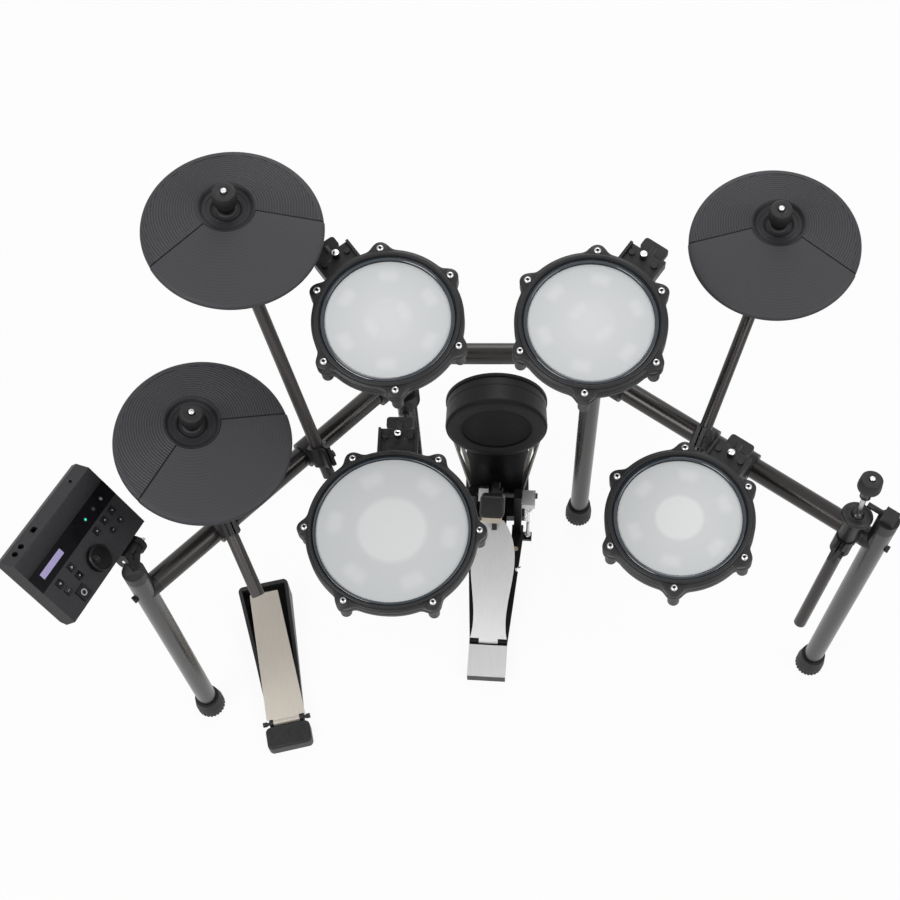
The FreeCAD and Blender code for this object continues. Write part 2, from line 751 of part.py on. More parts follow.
def tilter(ball_centre, pipe_end, post_axis):
    """The rimmed cup that holds the ball at a pipe's top, with its sleeve on the pipe."""
    down = unit(pipe_end - ball_centre)
    rim_radius = (TILTER_RING_D - TILTER_RIM) / 2
    rim = Part.makeTorus(rim_radius, TILTER_RIM / 2, ball_centre, post_axis)
    lip = ball_centre + post_axis * TILTER_GRIP
    above = rod(lip, lip + post_axis * TILTER_RING_D, TILTER_RING_D)
    cup = Part.makeSphere(rim_radius, ball_centre).cut(above)
    sleeve_start = ball_centre + down * (TILTER_BALL_D / 2 + TILTER_CUP_GAP)
    sleeve = rod(sleeve_start, pipe_end + down * TILTER_SLEEVE_L, TILTER_SLEEVE_D / 2)
    body = united([rim, cup, sleeve])
    body = body.cut(rod(pipe_end, pipe_end + down * TILTER_SLEEVE_L * 2, PIPE_R + FIT))
    return body.cut(Part.makeSphere(TILTER_BALL_D / 2 + TILTER_CUP_GAP, ball_centre))


def tilter_reach():
    """How far a pipe's top stays below the ball of its tilter."""
    return TILTER_RING_D / 2 + SEAT


def pad_frame(across, away, up, lean_x, lean_y, turn):
    """A drum pad's frame: z out of the head, y towards its bracket."""
    point = Vector(across, away, up)
    return frame_at(point, normal_of(lean_x, lean_y), heading(QUARTER + turn))


def bolt_places(hoop_radius):
    """Where the tension bolts stand, in the pad's frame."""
    circle = hoop_radius + PAD_EAR_OUT
    return [heading(QUARTER + LUG_PHASE + TURN / LUGS * step) * circle for step in range(LUGS)]


def pad_hoop(head_radius, hoop_radius):
    """The rubber hoop with its ears and, as one piece with it, the tension bolts."""
    inside = head_radius + HEAD_TUCK + SEAT
    hoop = spun([
        (head_radius, SEAT),
        (head_radius, INNER_RING_LOW),
        (head_radius + INNER_RING, HOOP_RISE),
        (hoop_radius, HOOP_RISE),
        (hoop_radius, -HOOP_DROP),
        (inside, -HOOP_DROP),
        (inside, SEAT),
    ])
    holes = []
    bolts = []
    for place in bolt_places(hoop_radius):
        ear = rod(place - UP * HOOP_DROP, place + UP * PAD_EAR_TOP, PAD_EAR_D / 2)
        bound = rod(UP * -HOOP_DROP, UP * PAD_EAR_TOP, inside)
        hoop = hoop.fuse(ear.cut(bound))
        seat_cut = rod(place + UP * PAD_EAR_TOP, place + UP * (HOOP_RISE + OVERRUN), PAD_EAR_D / 2)
        holes.append(seat_cut)
        tip = place - UP * (HOOP_DROP + LUG_GAP + LUG_LENGTH / 2)
        seat = place + UP * PAD_EAR_TOP
        head = rod(seat, seat + UP * PAD_BOLT_HEAD_H, PAD_BOLT_HEAD_D / 2)
        bolts.append(rod(tip, seat, PAD_BOLT_D / 2).fuse(head))
    for hole in holes:
        hoop = hoop.cut(hole)
    return united([hoop] + bolts)


def pad_shell(head_radius, hoop_radius, bracket_out):
    """The shell cup with its lugs, head sensor and mounting bracket."""
    outside = head_radius + HEAD_TUCK - SHELL_INSET
    inside = outside - SHELL_WALL
    floor = -SHELL_DEPTH
    shell = spun([
        (0, floor),
        (outside, floor),
        (outside, -HEAD_THICK),
        (inside, -HEAD_THICK),
        (inside, floor + SHELL_WALL),
        (SENSOR_D / 2, floor + SHELL_WALL),
        (SENSOR_TIP_D / 2, -HEAD_THICK - SEAT),
        (0, -HEAD_THICK - SEAT),
    ])
    pieces = [shell]
    lug_top = -HOOP_DROP - LUG_GAP
    for place in bolt_places(hoop_radius):
        pieces.append(rod(place + UP * (lug_top - LUG_LENGTH), place + UP * lug_top, LUG_D / 2))
        inward = unit(place)
        web_frame = frame_at(inward * (inside + SHELL_WALL / 2), UP, inward)
        reach = place.Length - inside - SHELL_WALL / 2
        web_at = Vector(0, reach / 2, lug_top - LUG_LENGTH / 2)
        pieces.append(placed(block(Vector(LUG_WEB, reach, LUG_LENGTH / 2), web_at), web_frame))
    pieces.extend(pad_bracket(outside, hoop_radius, bracket_out))
    body = united(pieces)
    for place in bolt_places(hoop_radius):
        deep = place + UP * (lug_top - LUG_LENGTH / 2 - OVERRUN)
        body = body.cut(rod(deep, place + UP * (lug_top + OVERRUN), PAD_BOLT_D / 2 + SEAT))
    return body


def wing_height():
    """How far below the head the wing bolt and the rod block's middle lie."""
    return -BRACKET_DROP - BRACKET_BLOCK_H / 2


def pad_bracket(shell_radius, hoop_radius, bracket_out):
    """A flanged plate with a rod block, reaching out from the shell."""
    start = shell_radius - SHELL_WALL / 2
    end = bracket_out + BRACKET_BLOCK_W / 2
    length = end - start
    plate_at = Vector(0, (start + end) / 2, -BRACKET_DROP - BRACKET_PLATE / 2)
    plate = block(Vector(BRACKET_WIDTH, length, BRACKET_PLATE), plate_at)
    pieces = [plate]
    clear_start = start + INNER_RING + SHELL_WALL + PAD_EAR_D
    for side in (-1, 1):
        flange_at = Vector(
            side * (BRACKET_WIDTH - BRACKET_PLATE) / 2,
            (start + end) / 2,
            -BRACKET_DROP - BRACKET_FLANGE / 2,
        )
        pieces.append(block(Vector(BRACKET_PLATE, length, BRACKET_FLANGE), flange_at))
        lip_start = hoop_radius + PAD_EAR_OUT + SEAT
        lip_at = Vector(flange_at.x, (lip_start + end) / 2, (BRACKET_LIP - BRACKET_PLATE) / 2 - BRACKET_DROP)
        pieces.append(block(Vector(BRACKET_PLATE, end - lip_start, BRACKET_LIP + BRACKET_PLATE), lip_at))
        screw_at = Vector(side * BRACKET_SCREW_SPREAD, max(clear_start, bracket_out), -BRACKET_DROP)
        pieces.append(rod(screw_at, screw_at + UP * BRACKET_SCREW_H, BRACKET_SCREW_D / 2))
    block_at = Vector(0, bracket_out, wing_height())
    pieces.append(block(Vector(BRACKET_BLOCK_W, BRACKET_BLOCK_W, BRACKET_BLOCK_H), block_at))
    return pieces


def wing_bolt():
    """A wing bolt pointing along -Y with its tip at the rod's surface."""
    tip = ROD_R + WING_TIP_GAP
    face = BRACKET_BLOCK_W / 2
    ahead = Vector(0, 1, 0)
    shank = rod(ahead * tip, ahead * (face + SEAT), WING_SHANK_D / 2)
    hub_end = face + SEAT + WING_HUB_L
    hub = rod(ahead * (face + SEAT), ahead * hub_end, WING_HUB_D / 2)
    wing_at = ahead * (hub_end - WING_DEPTH / 2 + WING_THICK)
    wing = block(Vector(WING_SPAN, WING_DEPTH, WING_THICK), wing_at)
    corners = [edge for edge in wing.Edges if edge.BoundBox.ZLength > WING_THICK / 2]
    return united([shank, hub, wing.makeFillet(WING_CORNER, corners)])


def drum_pad(name, frame, head_diameter, hoop_diameter, bracket_out):
    """Writes a pad's pieces and returns the point where its rod passes."""
    head_radius = head_diameter / 2
    hoop_radius = hoop_diameter / 2
    head_edge = head_radius + HEAD_TUCK
    head = spun([(0, -HEAD_THICK), (head_edge, -HEAD_THICK), (head_edge, 0), (0, 0)])
    rod_at = frame.multVec(Vector(0, bracket_out, wing_height()))
    bore_half = UP * BRACKET_BLOCK_H
    shell = placed(pad_shell(head_radius, hoop_radius, bracket_out), frame)
    shell = shell.cut(rod(rod_at - bore_half, rod_at + bore_half, ROD_R + FIT))
    outward = frame.Rotation.multVec(Vector(0, 1, 0))
    shell = shell.cut(rod(rod_at, rod_at + outward * BRACKET_BLOCK_W, WING_SHANK_D / 2 + FIT))
    bolt_frame = FreeCAD.Placement(rod_at, frame.Rotation)
    save(name + "_shell", shell)
    save(name + "_hoop", placed(pad_hoop(head_radius, hoop_radius), frame))
    save(name + "_head", placed(head, frame))
    save(name + "_wing_bolt", placed(wing_bolt(), bolt_frame))
    note(name + "_swing", rod_at, UP)
    note(name + "_wing_turn", rod_at, outward)
    return rod_at


def pad_rod(rod_at, target, clamp_up):
    """The bent rod from a pad's bracket to the clamp, and the way its end points."""
    corner = Vector(rod_at.x, rod_at.y, clamp_up)
    aim = Vector(target.x, target.y, clamp_up)
    out = unit(aim - corner)
    end = aim - out * (TUBE_R + SOCKET_SETBACK + SEAT)
    return bent_rod(rod_at + UP * ROD_ABOVE, corner, end), out * -1


def biarc(start, start_dir, end, end_dir):
    """Two arcs that join two points with given directions."""
    gap = end - start
    total = start_dir + end_dir
    a = 2 * (1 - start_dir.dot(end_dir))
    b = 2 * gap.dot(total)
    c = -gap.dot(gap)
    reach = (-b + math.sqrt(b * b - 4 * a * c)) / (2 * a)
    joint = (start + end + (start_dir - end_dir) * reach) / 2
    arcs = []
    for near, far, way in ((start, joint, start_dir), (end, joint, end_dir * -1)):
        chord = far - near
        side = unit(chord - way * chord.dot(way))
        radius = chord.dot(chord) / (2 * chord.dot(side))
        centre = near + side * radius
        middle = centre + unit((near + far) / 2 - centre) * radius
        arcs.append((near, middle, far))
    first, second = arcs
    return [Part.Arc(*first).toShape(), Part.Arc(second[2], second[1], second[0]).toShape()]


def spring_length():
    """The spring's length with both hooks and their straight ends."""
    return SPRING_TURNS * SPRING_PITCH + (SPRING_HOOK + SPRING_PLUMB) * 2


def coil_spring(bottom):
    """A hooked coil spring standing plumb on its lower end."""
    radius = SPRING_D / 2
    body = SPRING_TURNS * SPRING_PITCH
    start_up = bottom.z + SPRING_PLUMB + SPRING_HOOK
    slope = SPRING_PITCH / TURN / math.radians(1) / radius

    def on_coil(quarter):
        turn = heading(quarter * QUARTER)
        point = Vector(bottom.x, bottom.y, start_up + SPRING_PITCH * quarter / 4) + turn * radius
        way = unit(UP.cross(turn) + UP * slope)
        return point, way

    quarters = SPRING_TURNS * 4
    low_end = Vector(bottom.x, bottom.y, start_up - SPRING_HOOK)
    high_end = Vector(bottom.x, bottom.y, start_up + body + SPRING_HOOK)
    edges = [Part.makeLine(low_end - UP * SPRING_PLUMB, low_end)]
    edges.extend(biarc(low_end, UP, *on_coil(0)))
    for quarter in range(quarters):
        edges.extend(biarc(*on_coil(quarter), *on_coil(quarter + 1)))
    edges.extend(biarc(*on_coil(quarters), high_end, UP))
    edges.append(Part.makeLine(high_end, high_end + UP * SPRING_PLUMB))
    path = Part.Wire(edges)
    profile = Part.Wire(Part.makeCircle(SPRING_WIRE / 2, low_end - UP * SPRING_PLUMB, UP))
    gap = min(
        (on_coil(quarter)[0] - on_coil(quarter + 4)[0]).Length for quarter in range(quarters - 3)
    ) - SPRING_WIRE
    print("least gap between spring turns %.3f, wanted over %.1f" % (gap, SPRING_GAP_LEAST))
    return path.makePipeShell([profile], True, False)


def build_rack():
    """Legs, feet, bars, clamps, pipes and cymbals."""
    left_top = Vector(-MIDDLE_LEG_SPREAD, 0, 0)
    right_top = Vector(MIDDLE_LEG_SPREAD, 0, 0)
    left_way = heading(TURN / 2 + LEFT_SWEEP)
    right_way = heading(-RIGHT_SWEEP)
    left_front = left_top + left_way * LEFT_REACH
    right_front = right_top + right_way * RIGHT_REACH
    sole = UP * FOOT_SOLE
    across = Vector(1, 0, 0)

    def leg(place, top):
        return tube(place + sole, place + UP * top, TUBE_R, TUBE_WALL)

    def front_leg(place, way):
        bolt_at = place + UP * SIDE_BAR_HEIGHT
        reach = way * TUBE_D
        return leg(place, FRONT_LEG_TOP).cut(rod(bolt_at - reach, bolt_at + reach, CLAMP_BOLT_D / 2 + SEAT))

    save("middle_legs", [leg(left_top, MIDDLE_LEG_TOP), leg(right_top, MIDDLE_LEG_TOP)])
    save("middle_feet", [foot_at(left_top), foot_at(right_top)])
    save("left_leg", front_leg(left_front, left_way))
    save("left_foot", foot_at(left_front))
    save("right_leg", front_leg(right_front, right_way))
    save("right_foot", foot_at(right_front))

    def bar_tee(place, height, way):
        return tee_at(place + UP * height, UP, way, TUBE_R, TUBE_R, COLLAR_LENGTH, SOCKET_REACH)

    def side_bar(start, end, way):
        height = UP * SIDE_BAR_HEIGHT
        first = socket_floor(start + height, way, TUBE_R)
        last = end + height - way * (TUBE_R + SADDLE_REACH + SEAT)
        return tube(first, last, TUBE_R, TUBE_WALL)

    centre_start = socket_floor(left_top + UP * CENTRE_BAR_HEIGHT, across, TUBE_R)
    centre_end = socket_floor(right_top + UP * CENTRE_BAR_HEIGHT, across * -1, TUBE_R)
    save("centre_bar", tube(centre_start, centre_end, TUBE_R, TUBE_WALL))
    save("left_bar", side_bar(left_top, left_front, left_way))
    save("right_bar", side_bar(right_top, right_front, right_way))
    centre_clamps = bar_tee(left_top, CENTRE_BAR_HEIGHT, across)
    centre_clamps += bar_tee(right_top, CENTRE_BAR_HEIGHT, across * -1)
    left_clamps = bar_tee(left_top, SIDE_BAR_HEIGHT, left_way)
    left_clamps += saddle(left_front + UP * SIDE_BAR_HEIGHT, left_way * -1)
    right_clamps = bar_tee(right_top, SIDE_BAR_HEIGHT, right_way)
    right_clamps += saddle(right_front + UP * SIDE_BAR_HEIGHT, right_way * -1)
    note("left_foot_rest", left_front, UP * -1)
    note("right_foot_rest", right_front, UP * -1)
    note("left_wing_fold", left_top + UP * SIDE_BAR_HEIGHT, UP)
    note("right_wing_fold", right_top + UP * SIDE_BAR_HEIGHT, UP)

    def rod_tee(point, post_axis, way, ear_way=Vector(-1, 0, 0)):
        reach = TUBE_R + ROD_SOCKET_EXTRA
        return tee_at(point, post_axis, way, TUBE_R, ROD_R, ROD_TEE_LENGTH, reach, ear_way)

    pads = build_pads()
    snare_rod, snare_out = pad_rod(pads["snare"], left_top, SNARE_CLAMP_UP)
    left_rod, left_out = pad_rod(pads["left_tom"], left_top, TOM_CLAMP_UP)
    right_rod, right_out = pad_rod(pads["right_tom"], right_top, TOM_CLAMP_UP)
    centre_clamps += rod_tee(left_top + UP * SNARE_CLAMP_UP, UP, snare_out)
    centre_clamps += rod_tee(left_top + UP * TOM_CLAMP_UP, UP, left_out)
    centre_clamps += rod_tee(right_top + UP * TOM_CLAMP_UP, UP, right_out)
    save("pad_rods", [snare_rod, left_rod, right_rod])
    save("centre_clamps", centre_clamps)

    floor_at = pads["floor_tom"]
    right_start = right_top + UP * SIDE_BAR_HEIGHT
    floor_share = Vector(floor_at.x, floor_at.y, SIDE_BAR_HEIGHT) - right_start
    floor_foot = right_start + right_way * floor_share.dot(right_way)
    floor_rod, floor_out = pad_rod(floor_at, floor_foot, SIDE_BAR_HEIGHT)
    right_clamps += rod_tee(floor_foot, right_way, floor_out, Vector(0, 1, 0))

    left_start = left_top + UP * SIDE_BAR_HEIGHT
    left_side = UP.cross(left_way)
    right_side = right_way.cross(UP)
    bar_up = SIDE_BAR_HEIGHT
    crash = cymbal_stand(
        "crash", Vector(CRASH_ACROSS, CRASH_AWAY, bar_up + CRASH_RISE),
        normal_of(CRASH_LEAN_X, CRASH_LEAN_Y), CRASH_ZONE_TURN,
        left_start + left_way * CRASH_CLAMP, left_way, left_side, PIPE_TAIL_CRASH)
    hihat = cymbal_stand(
        "hihat", Vector(HIHAT_ACROSS, HIHAT_AWAY, bar_up + HIHAT_RISE),
        normal_of(HIHAT_LEAN_X, HIHAT_LEAN_Y), HIHAT_ZONE_TURN,
        left_start + left_way * HIHAT_CLAMP, left_way, left_side, PIPE_TAIL_HIHAT)
    ride = cymbal_stand(
        "ride", Vector(RIDE_ACROSS, RIDE_AWAY, bar_up + RIDE_RISE),
        normal_of(RIDE_LEAN_X, RIDE_LEAN_Y), RIDE_ZONE_TURN,
        right_start + right_way * RIDE_CLAMP, right_way, right_side, PIPE_TAIL_RIDE)
    save("left_pipes", [crash["pipe"], hihat["pipe"]])
    save("left_posts", crash["post"] + hihat["post"])
    left_clamps += crash["clamp"] + hihat["clamp"]
    save("ride_post", ride["post"])
    right_clamps += ride["clamp"]
    spare_point = right_start + right_way * (RIGHT_REACH - SPARE_CLAMP_BACK)
    spare_pipe, spare_clamp = spare_stand(spare_point, right_way)
    right_clamps += spare_clamp
    save("right_pipes", [ride["pipe"], spare_pipe, floor_rod])
    right_clamps += leg_cap(right_front, right_way)
    save("right_clamps", right_clamps)
    left_clamps += build_module(left_front)
    save("left_clamps", left_clamps)


def leg_cap(place, way):
    """The plug on the right front leg with its block and side pin."""
    top = place + UP * FRONT_LEG_TOP
    plug = rod(top - UP * CAP_PLUG, top, TUBE_R - TUBE_WALL - FIT)
    dome = rod(top, top + UP * CAP_HEIGHT, TUBE_R)
    frame = frame_at(top + UP * CAP_HEIGHT, UP, way)
    raised = placed(block(Vector(CAP_BLOCK, CAP_BLOCK, CAP_BLOCK_H), UP * (CAP_BLOCK_H / 2)), frame)
    pin_start = top + UP * (CAP_HEIGHT + CAP_BLOCK_H / 2)
    pin = rod(pin_start, pin_start - way * (CAP_BLOCK / 2 + CAP_PIN_L), CAP_PIN_D / 2)
    return [united([plug, dome, raised, pin])]


def pipe_seat(bar_point, bar_way, ball, side):
    """Where a pipe aimed at the ball lies beside the bar, square to both."""
    distance = TUBE_R + PIPE_R + CROSS_GAP
    seat = bar_point + side * distance
    for _ in range(SETTLE_STEPS):
        square = unit(bar_way.cross(ball - seat))
        if square.dot(side) < 0:
            square = square * -1
        seat = bar_point + square * distance
    return seat


def cymbal_stand(name, middle, normal, zone_turn, bar_point, bar_way, side, tail):
    """Writes a cymbal; returns its pipe, post pieces and clamp."""
    turn = FreeCAD.Rotation(UP, zone_turn)
    level = frame_at(middle, normal, Vector(0, 1, 0))
    centre = level.multVec(turn.multVec(Vector(0, CYMBAL_SHIFT, 0)))
    frame = frame_at(centre, normal, Vector(0, 1, 0))
    turned = frame.multiply(FreeCAD.Placement(Vector(), turn))
    save(name + "_cymbal", placed(cymbal(), turned))
    note(name + "_rock", centre, frame.Rotation.multVec(Vector(1, 0, 0)))
    ball = centre - normal * POST_DROP
    pipe_point = pipe_seat(bar_point, bar_way, ball, side)
    pipe_way = unit(ball - pipe_point)
    pipe_top = ball - pipe_way * tilter_reach()
    pipe = tube(pipe_point - pipe_way * tail, pipe_top, PIPE_R, PIPE_WALL)
    post = [placed(piece, frame) for piece in cymbal_post(POST_D / 2)]
    post.append(tilter(ball, pipe_top, normal))
    clamp = cross_clamp(bar_point, bar_way, pipe_point, pipe_way)
    return {"pipe": pipe, "post": post, "clamp": clamp}


def spare_stand(bar_point, bar_way):
    """The empty cymbal post: its pipe, the tilter and a rod that tips."""
    ball = bar_point + Vector(SPARE_ACROSS, SPARE_AWAY, SPARE_RISE)
    pipe_point = pipe_seat(bar_point, bar_way, ball, bar_way.cross(UP))
    pipe_way = unit(ball - pipe_point)
    top = ball - pipe_way * tilter_reach()
    pipe = tube(pipe_point - pipe_way * SPARE_TAIL, top, PIPE_R, PIPE_WALL)
    normal = normal_of(SPARE_LEAN_X, SPARE_LEAN_Y)
    frame = frame_at(ball, normal, Vector(0, 1, 0))
    knob_start = SPARE_ROD - SPARE_KNOB_H
    stem = rod(Vector(), UP * (SPARE_ROD + SPARE_NIB), POST_D / 2)
    stem = stem.fuse(Part.makeSphere(TILTER_BALL_D / 2))
    sleeve_start = UP * (knob_start - SPARE_SLEEVE_L)
    sleeve = rod(sleeve_start, UP * knob_start, SPARE_SLEEVE_D / 2)
    knob = rod(UP * knob_start, UP * SPARE_ROD, SPARE_KNOB_D / 2)
    post = united([stem, sleeve, knob])
    save("spare_post", placed(post, frame))
    note("spare_tilt", ball, normal.cross(UP))
    ring = tilter(ball, top, normal)
    clamp = cross_clamp(bar_point, bar_way, pipe_point, pipe_way)
    return pipe, clamp + [ring]


def build_pads():
    """Writes the four drum pads; returns where their rods pass."""
    snare = pad_frame(
        SNARE_ACROSS, SNARE_AWAY, SIDE_BAR_HEIGHT + SNARE_RISE,
        SNARE_LEAN_X, SNARE_LEAN_Y, SNARE_BRACKET_TURN)
    left_tom = pad_frame(
        LEFT_TOM_ACROSS, LEFT_TOM_AWAY, CENTRE_BAR_HEIGHT + LEFT_TOM_RISE,
        LEFT_TOM_LEAN_X, LEFT_TOM_LEAN_Y, LEFT_TOM_BRACKET_TURN)
    right_tom = pad_frame(
        RIGHT_TOM_ACROSS, RIGHT_TOM_AWAY, CENTRE_BAR_HEIGHT + RIGHT_TOM_RISE,
        RIGHT_TOM_LEAN_X, RIGHT_TOM_LEAN_Y, RIGHT_TOM_BRACKET_TURN)
    floor_tom = pad_frame(
        FLOOR_TOM_ACROSS, FLOOR_TOM_AWAY, SIDE_BAR_HEIGHT + FLOOR_TOM_RISE,
        FLOOR_TOM_LEAN_X, FLOOR_TOM_LEAN_Y, FLOOR_TOM_BRACKET_TURN)
    return {
        "snare": drum_pad("snare", snare, SNARE_HEAD_D, SNARE_HOOP_D, SNARE_BRACKET_OUT),
        "left_tom": drum_pad("left_tom", left_tom, TOM_HEAD_D, TOM_HOOP_D, TOM_BRACKET_OUT),
        "right_tom": drum_pad("right_tom", right_tom, TOM_HEAD_D, TOM_HOOP_D, TOM_BRACKET_OUT),
        "floor_tom": drum_pad("floor_tom", floor_tom, TOM_HEAD_D, TOM_HOOP_D, TOM_BRACKET_OUT),
    }


def build_kick():
    """The kick tower and its round pad."""
    face_at = Vector(KICK_ACROSS, KICK_FACE_AWAY, KICK_FACE_UP)
    out = unit(Vector(0, -1, math.tan(math.radians(KICK_LEAN))))
    frame = frame_at(face_at, out, UP)
    pad_radius = KICK_PAD_D / 2
    body = rod(UP * -KICK_PAD_DEPTH, Vector(), pad_radius)
    rim = rod(UP * -KICK_PAD_DEPTH, UP * (KICK_RIM_W - KICK_PAD_DEPTH), KICK_RIM_D / 2)
    pocket_floor = -KICK_FACE_SUNK - KICK_FACE_THICK
    pocket = rod(UP * pocket_floor, UP * OVERRUN, KICK_FACE_D / 2)
    cushion = rod(UP * pocket_floor, UP * -KICK_FACE_SUNK, KICK_FACE_D / 2 - SEAT)
    housing = united([body, rim]).cut(pocket)
    save("kick_pad", [placed(housing, frame), placed(cushion, frame)])

    floor_up = BASE_MAT
    base_centre = Vector(KICK_ACROSS, BASE_FRONT_AWAY + BASE_DEPTH / 2, floor_up + BASE_THICK / 2)
    base = block(Vector(BASE_WIDTH, BASE_DEPTH, BASE_THICK), base_centre)
    base_top = floor_up + BASE_THICK
    lip_at = Vector(KICK_ACROSS, BASE_FRONT_AWAY + HOOP_PLATE_DEPTH / 2, base_top + HOOP_PLATE_H / 2)
    lip = block(Vector(BASE_WIDTH, HOOP_PLATE_DEPTH, HOOP_PLATE_H), lip_at)
    front = COLUMN_FRONT_AWAY
    room = placed(rod(UP * -KICK_PAD_DEPTH * 2, UP * KICK_PAD_DEPTH, KICK_RIM_D / 2 + SEAT), frame)
    foot_half = COLUMN_BASE_W / 2
    top_half = COLUMN_TOP_W / 2
    outline = [
        Vector(KICK_ACROSS - foot_half, front, base_top),
        Vector(KICK_ACROSS + foot_half, front, base_top),
        Vector(KICK_ACROSS + top_half, front, COLUMN_TOP),
        Vector(KICK_ACROSS - top_half, front, COLUMN_TOP),
    ]
    column = prism(outline, Vector(0, COLUMN_WALL, 0)).cut(room)
    pieces = [base, lip, column]
    for side in (-1, 1):
        low = Vector(KICK_ACROSS + side * foot_half, front + COLUMN_WALL, base_top)
        high = Vector(KICK_ACROSS + side * top_half, front + COLUMN_WALL, COLUMN_TOP)
        inward = Vector(-side * COLUMN_WALL, 0, 0)
        wall = prism([low, low + inward, high + inward, high], Vector(0, COLUMN_DEPTH - COLUMN_WALL, 0))
        pieces.append(wall.cut(room))
    for side in (-1, 1):
        foot_x = KICK_ACROSS + side * (COLUMN_BASE_W / 2 + BRACE_THICK)
        foot = Vector(foot_x, front + BRACE_BACK, base_top + SEAT * 2)
        top_x = KICK_ACROSS + side * BRACE_TOP_W / 2
        slant = Vector(top_x, foot.y, BRACE_TOP_UP) - foot
        outward = unit(slant.cross(Vector(0, side, 0))) * -1
        span = outward * BRACE_THICK
        outline = [
            foot,
            foot - Vector(0, COLUMN_DEPTH, 0),
            Vector(top_x, front + BRACE_BACK - COLUMN_DEPTH, BRACE_TOP_UP),
            Vector(top_x, front + BRACE_BACK, BRACE_TOP_UP),
        ]
        plate = prism(outline, span).cut(room)
        window = [
            foot + slant * up_share - Vector(0, COLUMN_DEPTH * depth_share, 0) - outward * OVERRUN
            for up_share, depth_share in BRACE_WINDOW_SHARES
        ]
        plate = plate.cut(prism(window, span + outward * OVERRUN * 2))
        pieces.append(plate)
        for rise in (BRACE_BOLT_LOW, BRACE_BOLT_HIGH):
            share = (BRACE_TOP_UP - rise - base_top) / (BRACE_TOP_UP - base_top)
            spot = foot + slant * share
            spot = spot + span - Vector(0, COLUMN_DEPTH / 2, 0)
            pieces.append(hexagon(BRACE_BOLT_D, BRACE_BOLT_H, spot, outward))
    mat_at = Vector(base_centre.x, base_centre.y, BASE_MAT / 2)
    pieces.append(block(Vector(BASE_WIDTH, BASE_DEPTH, BASE_MAT), mat_at))
    save("kick_tower", pieces)


def pedal_frame():
    """The kick pedal's frame on the floor."""
    spot = Vector(PEDAL_ACROSS, PEDAL_AWAY, 0)
    return FreeCAD.Placement(spot, FreeCAD.Rotation(UP, PEDAL_TURN))


